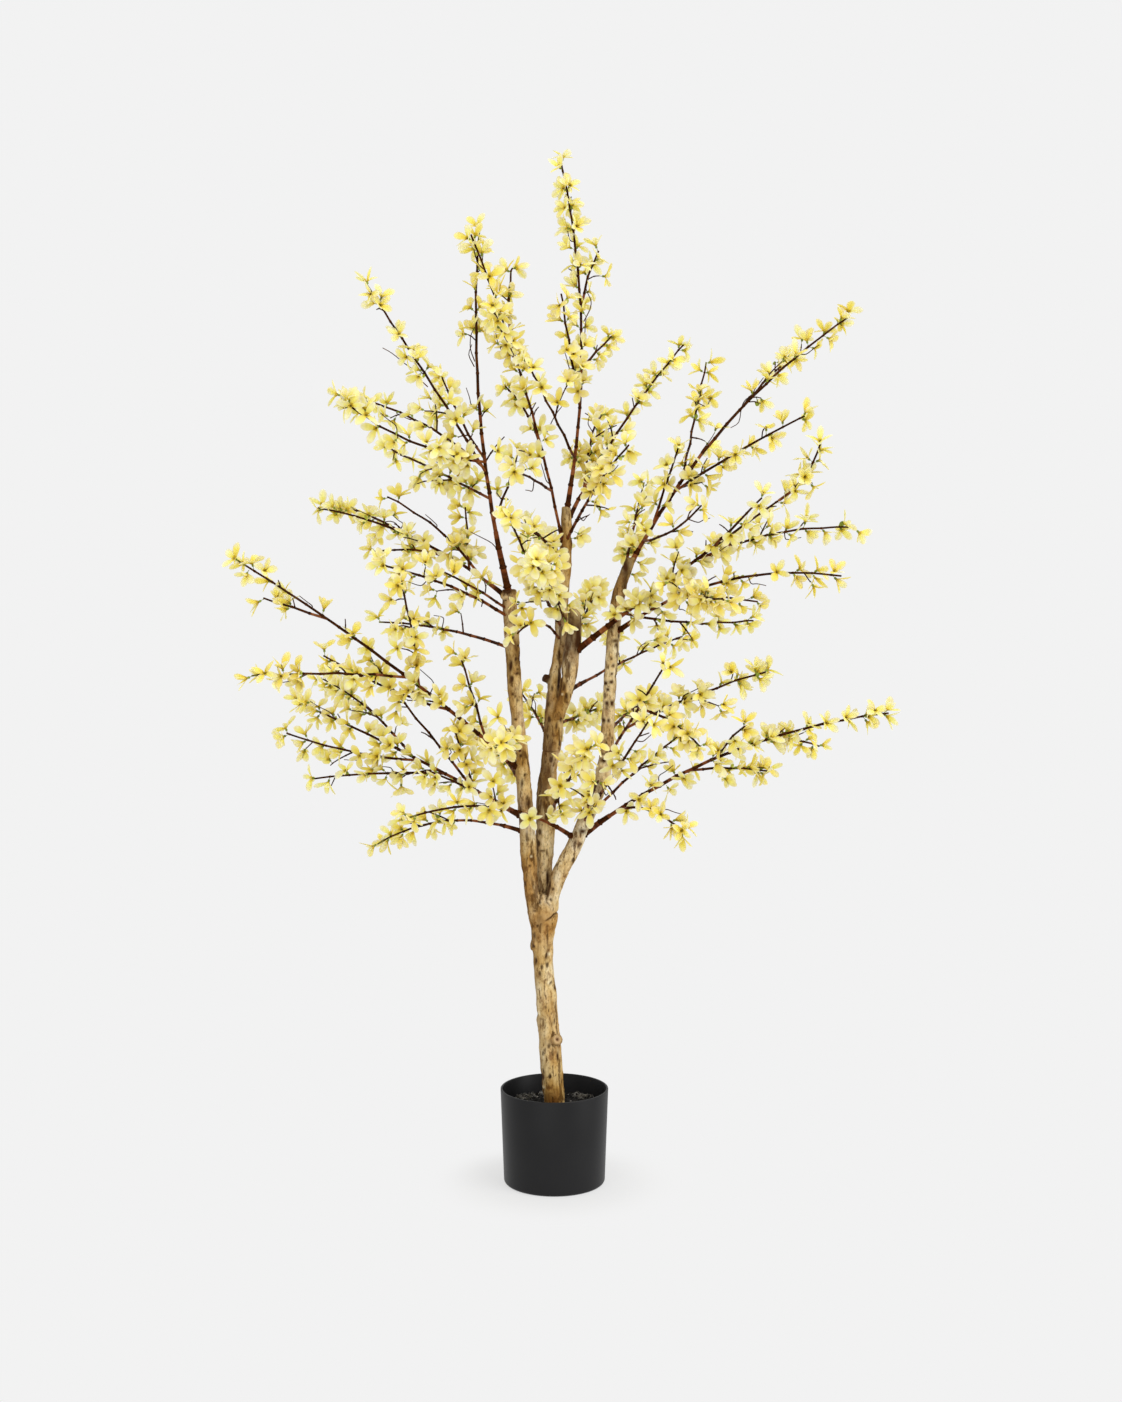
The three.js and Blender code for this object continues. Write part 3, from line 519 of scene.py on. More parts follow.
# The bark's relief: long ridges, deeper where the stems grow together, with swollen nodes, leaf
# scars, sawn twigs, splits and tears. Old dark bark is left in places.
# Each mark on the front: x and z of its middle, half width, half height, how far it slants
# sideways a millimetre of rise, its depth, and how dark it is; a mark below 0 is a pale chip.
MARKS = [
    (-9, 455, 2.6, 15, -0.05, 3.4, 1), (-10.5, 436, 2, 13, 0.1, 2.4, 0.7),
    (-2, 404, 2.2, 9, 1.3, 2.8, 0.9), (-16, 436, 6, 1.8, 0, 1.2, 0.7), (-21, 428, 1.6, 5, 0.5, 1.5, 0.7),
    (-10, 424, 1.6, 4, -0.6, 1.4, 0.7), (-10.3, 369, 1.2, 15, 0, 1, 0.7), (-25, 388, 2.2, 3, 0, 1.2, 0.8),
    (-29, 411, 3, 2, 0, 1, 0.8), (-29, 373, 2, 5, 0, 0.8, 0.7), (-30, 357, 2.2, 2.6, 0, 1.4, 0.9),
    (-12, 344, 2, 6, 0.2, 1.6, 1), (-26.7, 335, 2, 5, 0, 1.4, 0.9), (-4.5, 303, 1.6, 3, 0.2, 0.8, 0.8),
    (-25, 254, 1.4, 4, 0, 1, 0.8), (-12.7, 267, 1.5, 3, 0, 0.8, 0.7), (0, 245, 1.4, 5, 0.1, 1, 0.8),
    (-4.5, 257, 1.2, 2.2, 0, 0.6, 0.6), (4.5, 192, 1.9, 7, 0, 1.8, 1), (-17, 159, 2.4, 6, 0.1, 1.4, 0.9),
    (-2, 226, 1.2, 3, 0, 0.8, 0.7), (-32, 452, 1.3, 12, -0.15, 1.2, 0.7), (-36, 478, 2, 2, 0, 1, 0.7),
    (-2, 444, 2.2, 2.2, 0, 1, 0.7), (-63, 835, 4.8, 5.7, 0, -1.2, 0.5),
    (-64, 770, 3.1, 10.3, 0, 1.7, 0.9), (-54, 779, 4.8, 9.1, 0, 1, 0.6),
    (-54, 760, 2.4, 2.7, 0, 1.4, 0.9), (-56, 693, 2.4, 1.9, 0, 1.4, 0.9), (-59, 849, 1.6, 2.5, 0, 1, 0.8),
    (-38, 570, 5.8, 6.6, 0, 1, 0.7), (-48.5, 552, 2.9, 16, 0, 1, 0.7), (-60, 730, 1.8, 2.3, 0, 1, 0.8),
    (8, 747, 3.2, 21, 0.1, 3.1, 1), (14, 739, 3.4, 6.6, 0, 1.9, 0.8), (7.5, 785, 1.6, 12.2, 0, 1.9, 0.9),
    (14.5, 785, 1.5, 11.1, 0.1, 1.4, 0.8), (20.6, 797, 3, 5, 0.3, 1.7, 0.8),
    (14.5, 839, 3.4, 7.7, -0.5, 3.1, 1), (3, 680, 2.5, 6.6, 0.1, 1.2, 0.8),
    (-7, 643, 12.6, 1.5, 0.05, 1.2, 0.8), (9, 691, 1.6, 5.5, 0, 1.2, 0.8),
    (-17, 497, 4.4, 1.8, 0, 1.2, 0.8), (-11, 494, 1.5, 5.5, 0, 1.2, 0.8),
    (-20, 588, 2.3, 8.8, 0, 1.2, 0.6), (75, 744, 2.8, 3.2, 0, 1.6, 1), (83, 746, 3.4, 2.7, 0, 1.6, 1),
    (84, 758, 2.2, 2, 0, 1.2, 0.9), (90, 754, 2, 2.6, 0, 1.2, 0.8), (76.5, 715, 2.8, 3.8, 0, 1.7, 1),
    (84, 715, 2.8, 4.4, 0, 1.7, 1), (88.5, 806, 5.3, 3.1, 0, 1.2, 0.8), (71, 632, 4.8, 3.6, 0, 1.7, 0.9),
    (69.5, 598, 4.1, 2.6, 0, 1.4, 1), (57, 555, 2, 9, 0.3, 1.4, 0.8), (54, 549, 1.8, 7.7, 0.3, 1.4, 0.8),
    (41, 529, 5.9, 4.1, 0, 1.4, 0.9), (67, 641, 12.6, 1.9, 0.1, 1, 0.7),
    (30, 512, 2.8, 5.1, 0.3, 1.2, 0.8), (83, 780, 2, 2.3, 0, 1, 0.8),
    (-8.4, 346, 1.7, 2.4, 0, -1.2, -0.8), (-8.7, 304, 1.8, 2.8, 0.2, -1, -0.9),
    (-21.5, 257, 1.6, 3.2, -0.1, -1, -0.8), (-14.5, 145, 1.6, 2, 0, -0.8, -0.7),
    (2.5, 461, 2.8, 4, 0.2, -0.8, -0.5), (10.6, 482, 1.5, 1.5, 0, -0.6, -0.7),
    (-34, 492, 1.4, 1.6, 0, -0.6, -0.7), (12, 728, 1.5, 1.6, 0, -0.4, -0.6),
    (-6.4, 302, 1.2, 3, 0.2, 0.8, 0.8), (-10.6, 346, 1.2, 3, 0, 0.8, 0.8),
    (-62.5, 836, 3.1, 3.4, 0, 1.4, 0.9), (-55.4, 781, 2.4, 4.6, 0, 1.2, 0.9),
    (-62.6, 772, 2.9, 9.1, 0.05, 1.7, 1), (-53.9, 766, 1.7, 2.3, 0, 1, 0.8),
    (-56, 727, 1.8, 2.1, 0, 1, 0.8), (-47, 600, 2.4, 6.8, 0.1, 1.2, 0.8), (-40, 520, 1.9, 8, 0, 1.2, 0.7),
    (90, 800, 2.8, 3.8, 0, 1.2, 0.8), (86, 770, 2.2, 3.1, 0, 1.2, 0.8), (72, 690, 2.8, 3.8, 0, 1.2, 0.9),
    (64, 575, 3.1, 3.8, 0.2, 1.2, 0.9), (48, 540, 2.8, 6.4, 0.3, 1.2, 0.9),
    (36, 508, 2.5, 5.1, 0.3, 1.2, 0.8), (-12, 545, 3, 6.6, 0, 1.2, 0.7),
    (22, 770, 2.3, 8.8, 0.05, 1.2, 0.8), (18, 725, 2.5, 4.4, 0, 1.2, 0.8), (78, 735, 2.4, 2.6, 0, 1.4, 1),
    (79, 690, 2.2, 3.4, 0, 1.3, 1), (70, 665, 2.4, 2.6, 0, 1.2, 0.9), (75, 655, 1.8, 2.4, 0, 1, 0.9),
    (93, 838, 2.4, 4, 0, 1.2, 0.9), (84, 826, 2.4, 3, 0, 1.2, 0.9), (-49, 640, 2.2, 3, 0, 1.2, 0.9),
    (-43, 612, 1.8, 2.6, 0, 1, 0.9), (-60, 812, 2.4, 3, 0, 1.2, 0.9), (-53, 800, 2, 2.6, 0, 1.2, 0.9),
    (-61, 752, 2.6, 6, 0, 1.3, 1), (2, 812, 2, 4, 0, 1, 0.8), (8, 860, 2, 3, 0, 1, 0.8),
    (-3, 735, 2.2, 5, 0, 1, 0.8)]
# Scars in pairs, dealt up each stem.
SCAR_SEED, SCAR_STEP, SCAR_CHANCE, TRUNK_SCAR_CHANCE, SCAR_SPREAD = 77, 27, 0.62, 0.25, 0.55
FORK_LEVEL, FORK_REACH = 432, 42  # where the ridges and splits run deeper
OLD_BARK = [  # middle, half width, half height and strength of a patch of dark bark
    ((-18, 4, 640), 15, 70, 0.85), ((-14, 14, 580), 16, 12, 0.9), ((29, -2, 816), 17, 32, 1.15),
    ((-4, 22, 712), 11, 18, 0.45), ((-58, -20, 790), 9, 22, 0.6), ((-62, -18, 835), 10, 14, 0.5),
    ((62, -12, 590), 9, 14, 0.6), ((-22, -16, 395), 7, 10, 0.45), ((-15, 20, 750), 9, 9, 1.2),
    ((-12, 16, 722), 6, 20, 0.8), ((104, 0, 912), 10, 34, 1.0), ((88, 4, 880), 5, 16, 0.8),
    ((17, 28, 1000), 9, 16, 0.7), ((-66, -20, 886), 10, 12, 1.3), ((-12, 15, 760), 7, 60, 0.5),
    ((-16, 14, 615), 8, 30, 0.7)]
PALE_WOOD_AND_LIGHT = [  # the same for painted light: paler patches that lift stretches of stem the blossoms shade, on wood worn pale
    ((80, 0, 735), 16, 60, 1.0), ((68, -6, 610), 14, 34, 0.6), ((24, 5, 772), 12, 24, 0.7),
    ((-12, 8, 480), 16, 34, 0.6), ((20, -10, 485), 16, 24, 0.5), ((-16, -4, 250), 16, 60, 0.4)]
PALE_CHIPS = 1.3  # how much paler a chip is than its mark says
LIT_SIDE = (0.85, -0.45, 0.25)  # painted shade: bark that faces away from this side is painted browner


def lumps(place, wide, tall, shift=0):
    """A noise of lumps so wide and so tall, in mm."""
    return noise.noise(Vector((place[0] / wide, place[1] / wide, place[2] / tall + shift)))


def read_vectors(items, key):
    values = np.empty(len(items) * 3)
    items.foreach_get(key, values)
    return values.reshape(-1, 3)


mesh = wood.data
places = read_vectors(mesh.vertices, "co") / MM
facing = read_vectors(mesh.vertex_normals, "vector")
old_bark, pale_wood, heights, bark_chips, pith = np.zeros((5, len(places)))
for i, place in enumerate(places):
    x, y, z = place
    at_fork = math.exp(-((z - FORK_LEVEL) / FORK_REACH) ** 2)
    split = abs(lumps(place, 7, 70, 77))
    heights[i] = (0.8 + (0.85 + 1.7 * at_fork) * lumps(place, 8.5, 62)
                  + 1.25 * max(lumps(place, 26, 21, 40), -0.2) + 0.4 * lumps(place, 3.4, 13, 9)
                  + 1.3 * max(0.0, lumps(place, 6, 8, 130) - 0.22)
                  - (0.9 + 1.8 * at_fork) * max(0.0, 1 - split / 0.08))
    patchy = 0.7 + 0.7 * lumps(place, 9, 24, 20)
    for rows, here in ((OLD_BARK, old_bark), (PALE_WOOD_AND_LIGHT, pale_wood)):
        for (px, py, pz), wide, tall, strength in rows:
            far = ((x - px) ** 2 + (y - py) ** 2) / wide ** 2 + ((z - pz) / tall) ** 2
            if far < 2.2:
                here[i] = max(here[i], strength * patchy * min(1.0, 2.0 * math.exp(-far)))
for x, z, wide, tall, slant, depth, dark in MARKS:
    rise = places[:, 2] - z
    across = (places[:, 0] - x - slant * rise) / wide
    mark = np.exp(-np.abs(across) ** 2.5 - np.abs(rise / tall) ** 2.5) * (facing[:, 1] < 0.25)
    heights -= depth * mark
    # A mark's darkness joins the dark bark: dark bark in pits and scars, and painted shade in the deep
    # crevices where the stems part at the fork.
    if dark > 0:
        old_bark = np.maximum(old_bark, 1.15 * dark * mark)
    else:
        bark_chips = np.maximum(bark_chips, -PALE_CHIPS * dark * mark)
deal = seeded(SCAR_SEED)
for name, rows in STEMS.items():
    likely = TRUNK_SCAR_CHANCE if name == "trunk" else SCAR_CHANCE
    for height in np.arange(rows[0][2] + 40, rows[-1][2] - 10, SCAR_STEP):
        for side in range(3):
            at, radius = stem_point(rows, share_at_height(rows, height + SCAR_STEP * deal()))
            turn, chance = TURN * deal(), deal()
            if chance > likely:
                continue
            pairs = (-SCAR_SPREAD / 2, SCAR_SPREAD / 2) if chance < likely / 2 else (0,)
            for pair in pairs:
                out = level_way(turn + pair)
                if out[1] < -0.3:
                    continue
                away = places - (at + out * radius)
                mark = np.exp(-(away[:, 0] ** 2 + away[:, 1] ** 2) / 8 - away[:, 2] ** 2 / 11)
                heights -= 1.3 * mark
                old_bark = np.maximum(old_bark, mark)
for middle, out, radius in stub_ends:
    away = places - middle
    level = away @ out
    across = np.linalg.norm(away - level[:, None] * out, axis=1)
    on_cut = (np.abs(level) < 3) & (across < radius * 1.5)
    pith[on_cut] = 1 + across[on_cut] / radius
    heights[on_cut] -= np.exp(-(across[on_cut] / (0.25 * radius)) ** 2)
mesh.vertices.foreach_set("co", ((places + facing * heights[:, None]) * MM).ravel())
# Painted shade: how far each point of the bark faces away from the lit side, for a browner tone there.
weather = np.clip(0.5 - 0.75 * (facing @ np.array(LIT_SIDE)), 0, 1) ** 1.5 * 0.62
for name, values in (("old_bark", np.clip(old_bark, 0, 1)), ("bark_chip", np.clip(bark_chips, 0, 1)),
                     ("pale_wood", np.clip(pale_wood, 0, 1)), ("pith", pith), ("weather", weather)):
    mesh.attributes.new(name, "FLOAT", "POINT").data.foreach_set("value", values)
mesh.update()
bpy.ops.object.shade_smooth()


def attribute(name):
    """The value that the piece's own mesh holds under that name."""
    return add_node("Attribute", {"attribute_name": name}).outputs["Fac"]


def blend_colours(share, first, second, kind="MIX"):
    second = paint(second) if isinstance(second, str) else second
    settings = {"data_type": "RGBA", "blend_type": kind}
    return add_node("Mix", settings, _0=share, _6=first, _7=second).outputs[2]


wood_finish = new_finish("thin_bark", 0.72, 0.1)
tan = shades(patches(26, (1, 1, 0.42)),
             (0.32, "845C2A"), (0.42, "B89252"), (0.5, "D6B87E"), (0.58, "E4CE9E"), (0.68, "F2E6C8"))
ochre = shades(patches(17, (1, 1, 0.6), 2, shift=5.0), (0.46, 0), (0.66, 0.55))
flecks = shades(patches(420, (1, 1, 0.5), 4, 0.6, 3.0), (0.3, 0.75), (0.46, 0))
# Painted shade: the brown 5A3A14 goes on the side of the stems turned away from the lamps.
for share, code in ((ochre, "B4844A"), (attribute("weather"), "5A3A14"),
                    # Painted light: the paler EEDDB6 patches lift stems where blossoms shade them, over
                    # wood worn pale.
                    (attribute("pale_wood"), "EEDDB6"), (flecks, "5E3C18")):
    tan = blend_colours(share, tan, code)
mottle = shades(patches(95, (1, 1, 0.7), 4, 0.6, 7.0), (0.33, "94703C"), (0.46, "F0E7D2"), (0.58, "FFFFFF"))
tan = blend_colours(0.75, tan, mottle, "MULTIPLY")
streaks = patches(240, (1, 1, 0.16), 4, 0.65)
streak_tones = shades(streaks, (0.32, "75603F"), (0.5, "E6DEC9"), (0.7, "FFFFFF"))
tan = blend_colours(0.45, tan, streak_tones, "MULTIPLY")
# Small scattered spots, dark or pale, with a cell of their own each, and long fine cracks.
spot_place = add_node("Mapping", Vector=add_node("TexCoord").outputs["Object"], Scale=(1, 1, 0.62))
spots = add_node("TexVoronoi", Vector=spot_place.outputs[0], Scale=62.0, Randomness=1.0).outputs
spot_deal = add_node("SeparateColor", Color=spots["Color"]).outputs
dark_spots = measure("MULTIPLY", measure("GREATER_THAN", spot_deal[0], 0.36),
                     shades(spots["Distance"], (0.12, 1), (0.23, 0)))
pale_spots = measure("MULTIPLY", measure("LESS_THAN", spot_deal[1], 0.03),
                     shades(spots["Distance"], (0.15, 1), (0.25, 0)))
cracks = shades(patches(130, (1, 1, 0.2), 3, 0.6, 9.0), (0.39, 1), (0.415, 0))
for share, code in ((pale_spots, "D8C698"), (measure("MULTIPLY", cracks, 0.75), "52340F"),
                    (measure("MULTIPLY", dark_spots, 0.85), "36200C"),
                    # Dark bark, with painted shade in the fork's crevices.
                    (attribute("old_bark"), "3E230C"), (attribute("bark_chip"), "DCCBA2")):
    tan = blend_colours(share, tan, code)
end_grain = shades(measure("SUBTRACT", attribute("pith"), 1.0), (0.0, "4A3018"), (0.18, "5E4026"),
                   (0.34, "A0805A"), (0.62, "B89A70"), (0.8, "A08458"), (1.0, "94744A"))
tan = blend_colours(measure("GREATER_THAN", attribute("pith"), 0.5), tan, end_grain)
bark_height = measure("MULTIPLY_ADD", dark_spots, -0.9, streaks)
set_surface(tan, measure("MULTIPLY_ADD", cracks, -0.8, bark_height), 0.9)
wood.data.materials.clear()
wood.data.materials.append(wood_finish)
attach(wood, "root")
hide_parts("trunk", "left_stem", "centre_stem", "right_stem", "centre_fork")

# ---- Boughs ----------------------------------------------------------------------------------
# Wire-cored plastic limbs under a glossy red-brown paint with darker rings at their nodes. Each
# is pushed into a hole bored in its stem and glued, and its spray grows on from its tip.

# Each bough: its stem, the height of its root, its spray's furthest tip, how far its middle
# stands above the straight line, its bare length, its radius, the share where blossom begins,
# and its side shoots: the share where each starts, its tip and its bow.
BOUGHS = {
    "left_reach": ("left_stem", 615, (-440, -120, 925), 11, 60, 5.5, 0.52, [
        (0.14, (-135, -60, 790), 1), (0.28, (-335, -10, 785), -7), (0.39, (-210, -180, 895), 17),
        (0.43, (-410, -200, 770), 4), (0.71, (-415, -50, 870), 0)]),
    "left_fan": ("left_stem", 545, (-395, 140, 705), 6, 60, 5, 0.36, [
        (0.19, (-180, -40, 620), 0), (0.22, (-145, -50, 685), 0), (0.22, (-260, -30, 775), -1),
        (0.35, (-355, 30, 600), 4), (0.46, (-400, 60, 665), -8), (0.49, (-370, 230, 735), 14)]),
    "left_low": ("left_stem", 525, (-275, 170, 480), 27, 50, 4, 0.42, []),
    "left_mid": ("left_stem", 795, (-270, 170, 825), 9, 0, 3, 0.3, []),
    "left_upper": ("left_stem", 840, (-245, -150, 920), 10, 0, 3, 0.25, []),
    "left_short": ("left_stem", 850, (-160, -90, 910), 3, 0, 2.5, 0.4, []),
    "left_high": ("left_stem", 866, (-360, 150, 1000), 22, 45, 4.5, 0.45, [
        (0.15, (-245, 40, 1015), 12), (0.22, (-135, 130, 1000), 4), (0.32, (-265, 50, 935), 6),
        (0.57, (-320, 210, 1000), 3)]),
    "left_top": ("left_stem", 872, (-105, -40, 1395), -25, 95, 5.5, 0.42, [
        (0.21, (-55, 90, 1080), -6), (0.27, (-265, 210, 1095), 2), (0.35, (-315, 90, 1165), 18),
        (0.34, (-255, -130, 1300), 2), (0.37, (-275, -210, 1135), -14), (0.38, (-165, 60, 1190), -6)]),
    "centre_top": ("centre_stem", 990, (10, 30, 1495), 26, 70, 4.5, 0.36, [
        (0.15, (35, 120, 1080), 0), (0.16, (-35, -150, 1195), 0), (0.31, (10, -80, 1295), -3),
        (0.42, (85, 120, 1255), 0), (0.58, (65, 80, 1375), 6)]),
    "centre_left": ("centre_stem", 925, (-115, -90, 1375), 16, 50, 4, 0.4, [
        (0.21, (-55, -170, 1050), 1), (0.34, (-75, 60, 1180), 10), (0.6, (-85, -150, 1270), 0),
        (0.68, (-60, 0, 1340), 20)]),
    "centre_right": ("centre_stem", 950, (100, -220, 1080), 10, 0, 3, 0.2, []),
    "centre_high": ("centre_stem", 975, (195, 150, 1245), 12, 50, 4, 0.2, [
        (0.17, (75, 230, 1145), 28)]),
    "centre_loop": ("centre_stem", 805, (-50, -150, 825), 20, 0, 2.5, 0.4, []),
    "front_rise": ("centre_stem", 825, (-60, -280, 990), -6, 0, 3, 0.15, []),
    "front_mid": ("centre_stem", 845, (-25, -330, 925), 9, 0, 3, 0.15, []),
    "front_left": ("centre_stem", 925, (-65, -190, 990), 3, 0, 3, 0.15, []),
    "back_rise": ("centre_fork", 800, (68, 240, 870), 6, 0, 3, 0.2, []),
    "back_left": ("centre_stem", 650, (-55, 260, 710), 5, 0, 3, 0.3, []),
    "front_low": ("centre_stem", 535, (50, -260, 680), 6, 0, 3, 0.25, []),
    "back_right": ("centre_stem", 680, (80, 250, 690), -1, 0, 3, 0.3, []),
    "back_reach": ("centre_fork", 730, (205, 310, 795), 5, 60, 4, 0.35, []),
    "right_reach": ("centre_fork", 785, (325, -90, 1015), 3, 90, 5.5, 0.4, [
        (0.26, (300, 110, 830), -8), (0.6, (440, 20, 970), 14), (0.68, (280, -200, 1010), 0),
        (0.97, (365, -150, 1085), -11)]),
    "right_top": ("right_stem", 895, (435, 90, 1280), 34, 50, 5.5, 0.55, [
        (0.12, (200, -180, 1000), -10), (0.17, (180, 20, 1085), 0), (0.32, (235, 230, 1225), -1),
        (0.28, (350, -90, 1125), 4), (0.57, (370, 240, 1235), 4)]),
    "back_top": ("right_stem", 900, (140, 250, 1040), 6, 0, 3, 0.3, []),
    "right_mid": ("right_stem", 815, (390, -190, 905), 34, 55, 4.5, 0.45, [
        (0.25, (225, -260, 875), 6), (0.32, (290, -60, 865), 3)]),
    "right_front": ("right_stem", 630, (150, -250, 790), 0, 50, 4, 0.4, [
        (0.36, (295, -130, 770), 6), (0.57, (200, -260, 675), 9)]),
    "right_back": ("right_stem", 545, (210, 220, 655), 6, 50, 4, 0.45, []),
    "front_right": ("right_stem", 560, (125, -280, 715), 0, 0, 3, 0.35, []),
    "right_low": ("right_stem", 515, (480, -50, 705), 34, 60, 5.5, 0.45, [
        (0.15, (185, -170, 545), 17), (0.39, (325, 80, 605), 4), (0.48, (265, -140, 695), 3),
        (0.65, (395, 60, 645), 3)]),
    "low_cross": ("right_stem", 515, (-200, -200, 575), 31, 60, 4, 0.45, []),
    "front_short": ("right_stem", 540, (60, -230, 630), 6, 0, 2.5, 0.3, []),
    "back_low": ("left_stem", 590, (-125, 310, 635), 12, 0, 3, 0.3, []),
    "back_mid": ("right_stem", 670, (160, 320, 695), 8, 0, 3, 0.3, []),
    "back_high": ("centre_stem", 920, (-30, 300, 955), 8, 0, 3, 0.2, []),
    "front_near": ("left_stem", 645, (-75, -290, 685), 9, 0, 3, 0.2, []),
}
BOUGH_TAPER, BOUGH_SIDES, BOUGH_SEED = 0.35, 10, 7000
SHARP = 60  # degrees: a steeper edge stays sharp
NODE_STEP, NODE_HALF, NODE_SWELL = 28.4, 2.4, 1.32  # the swollen joints along every limb


def bowed(root, tip, bow):
    """A limb's curve: three points, its middle bowed square to the straight line, upwards."""
    root, tip = np.asarray(root, dtype=float), np.asarray(tip, dtype=float)
    chord = unit(tip - root)
    above = np.array([0, 0, 1.0]) - chord * chord[2]
    return root, (root + tip) / 2 + 2 * bow * above / np.linalg.norm(above), tip


def on_limb(curve, share):
    share = np.asarray(share, dtype=float)[..., None]
    return curve[0] * (1 - share) ** 2 + curve[1] * 2 * share * (1 - share) + curve[2] * share ** 2


def heading_at(curve, share):
    return unit((curve[1] - curve[0]) * (1 - share) + (curve[2] - curve[1]) * share)


def limb_length(curve):
    return float(np.linalg.norm(np.diff(on_limb(curve, np.linspace(0, 1, 201)), axis=0), axis=1).sum())


def outward(along, angle):
    """A direction square to `along`, turned from its upward side."""
    side = np.cross([0, 0, 1.0], along)
    side = np.array([0, 1.0, 0]) if np.linalg.norm(side) < 0.01 else unit(side)
    return np.cross(along, side) * math.cos(angle) + side * math.sin(angle)


def jointed(curve, start, end, first, radius_at, sway, deal):
    """Points and radii along a limb with a swollen, slightly kinked joint at every node."""
    length = limb_length(curve)
    nodes = np.arange(start * length + first, end * length - 2 * NODE_HALF, NODE_STEP)
    kinks = [(start * length, np.zeros(3))]
    for number, along in enumerate(nodes):
        swing = sway * (0.5 + deal()) * (1 if number % 2 else -1)
        turn = TURN * deal() * 0.3
        kinks.append((along, outward(heading_at(curve, along / length), turn) * swing))
    kinks.append((end * length, np.zeros(3)))
    stops = sorted({start * length, end * length, *(
        node + shift for node in nodes for shift in (-NODE_HALF, 0, NODE_HALF, NODE_STEP / 2))
    } - {along for along in (NODE_STEP / 2 + nodes) if along > end * length - NODE_HALF})
    knots = np.array([along for along, _ in kinks])
    shifts = np.array([shift for _, shift in kinks])
    aside = np.column_stack([np.interp(stops, knots, shifts[:, axis]) for axis in range(3)])
    path = on_limb(curve, np.array(stops) / length) + aside
    radii = np.array([radius_at(along / length) * (NODE_SWELL if along in nodes else 1)
                      for along in stops])
    near = [bool(len(nodes)) and float(np.min(np.abs(nodes - along))) <= NODE_HALF + 0.01
            for along in stops]
    joints = [(along, path[stops.index(along)]) for along in nodes]
    return path, radii, near, joints


bough_heap = new_heap()
sprays = []
solid_lines = []  # stretches of stem and bough that blossoms keep off: end, end, radius
for name, rows in STEMS.items():
    points = [stem_point(rows, step / 40) for step in range(41)]
    solid_lines += [(a[0], b[0], max(a[1], b[1])) for a, b in zip(points, points[1:])]
for index, (name, (on, height, tip, bow, bare, radius, bloom, shoots)) in enumerate(BOUGHS.items()):
    root = stem_point(STEMS[on], share_at_height(STEMS[on], height))[0]
    curve = bowed(root, tip, bow)
    length = limb_length(curve)
    spray = {"curve": curve, "start": 0.0, "radius": radius, "shoots": shoots, "bloom": bloom,
             "index": index, "name": name}
    if bare:
        end = bare / length
        path, radii, near, _ = jointed(
            curve, 0, end, 14, lambda share: radius * (1 - BOUGH_TAPER * share / end), 0.3,
            seeded(BOUGH_SEED + index))
        add_tube(bough_heap, path, radii, BOUGH_SIDES, [1 if mark else 0 for mark in near])
        solid_lines.append((on_limb(curve, 0), on_limb(curve, end), radius))
        spray["start"], spray["radius"] = end, radius * (1 - BOUGH_TAPER)
    sprays.append(spray)

red_bark_finish = clouded(
    "red_brown_paint", 0.42, 0.1, 70,
    [(0.3, "3C1A04"), (0.46, "643010"), (0.62, "824A22"), (0.76, "A06A3A")], 480, 0.35)
dark_node_finish = clouded(
    "dark_node_paint", 0.5, 0.03, 180, [(0.35, "281002"), (0.65, "482408")], 600, 0.4)
boughs = make_piece("boughs", bough_heap, [red_bark_finish, dark_node_finish], SHARP)
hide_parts(*[f"{name}_bough" for name, row in BOUGHS.items() if row[4]])

# ---- Twigs -----------------------------------------------------------------------------------
# Thinner wires in the same coat: each spray's leading shoot, its side shoots and its spurs, then
# finer spurs and thin kinked wires dealt along them by the same seeded rule.

SHOOT_RADIUS, SHOOT_TIP_RADIUS = 2.1, 1.3
SPUR = {"first": 100, "step": 280, "reach": (32, 58), "angle": 50, "bow": 2, "radius": 1.35}
FINE_SPUR = {"first": 52, "step": 110, "reach": (12, 26), "angle": 52, "bow": 2, "radius": 1.0}
TWIG_SIDES, FINE_SIDES = 7, 5
LEADER_THINNING = 0.85  # a leader is thinner than the bough that it grows from
# How far out a twig stays red, and from where it is olive. The rest is dark.
RED_UNTIL, OLIVE_FROM, FINE_OLIVE_FROM = {"leader": 0.45, "shoot": 0.12}, 0.93, 0.45
# The first seed of each kind of twig, and of the rules that deal spurs and wires along them.
LEADER_SEED, SHOOT_SEED, SPUR_SEED, FINE_SEED = 8000, 8100, 9000, 20000
SPUR_RULE_SEED, FINE_RULE_SEED, WIRE_RULE_SEED = 100, 12000, 15000
# Where blossom starts along a side shoot, and the side shoots where it starts elsewhere.
SHOOT_BLOOM = 0.2
SHOOT_BLOOMS = {("centre_left", 0): 0.6, ("centre_top", 1): 0.6, ("right_top", 0): 0.5,
                ("left_fan", 2): 0.5, ("right_mid", 0): 0.4, ("left_top", 2): 0.35,
                ("left_reach", 2): 0.08}
WIRE_EVERY, WIRE_RADIUS, WIRE_SIDES = 190, 0.75, 5
# Kinked wires that stand out against the sky, each from its root to its end.
WIRES = [
    [(297, 40, 1166), (279, 38, 1157), (273, 36, 1146), (270, 34, 1122), (257, 30, 1115)],
    [(-178, -60, 1168), (-189, -60, 1178), (-195, -61, 1190), (-210, -62, 1200), (-228, -63, 1215),
     (-241, -64, 1222)],
    [(-114, -20, 1199), (-123, -24, 1216), (-117, -28, 1230)],
    [(-230, 80, 967), (-236, 82, 977), (-245, 84, 980), (-255, 86, 978), (-274, 88, 987),
     (-304, 90, 1001)],
    [(-79, 0, 934), (-90, 4, 948), (-108, 8, 957), (-122, 12, 964)],
    [(-11, 60, 1110), (1, 56, 1135), (16, 50, 1153)],
    [(43, 40, 1269), (52, 30, 1285), (54, 22, 1296), (47, 20, 1310), (45, 22, 1318)],
    [(-113, -30, 1206), (-119, -44, 1222), (-118, -52, 1240), (-112, -54, 1252)],
]

shoots = []  # every stretch that blossom is dealt along
twig_heap, wire_heap = new_heap(), new_heap()


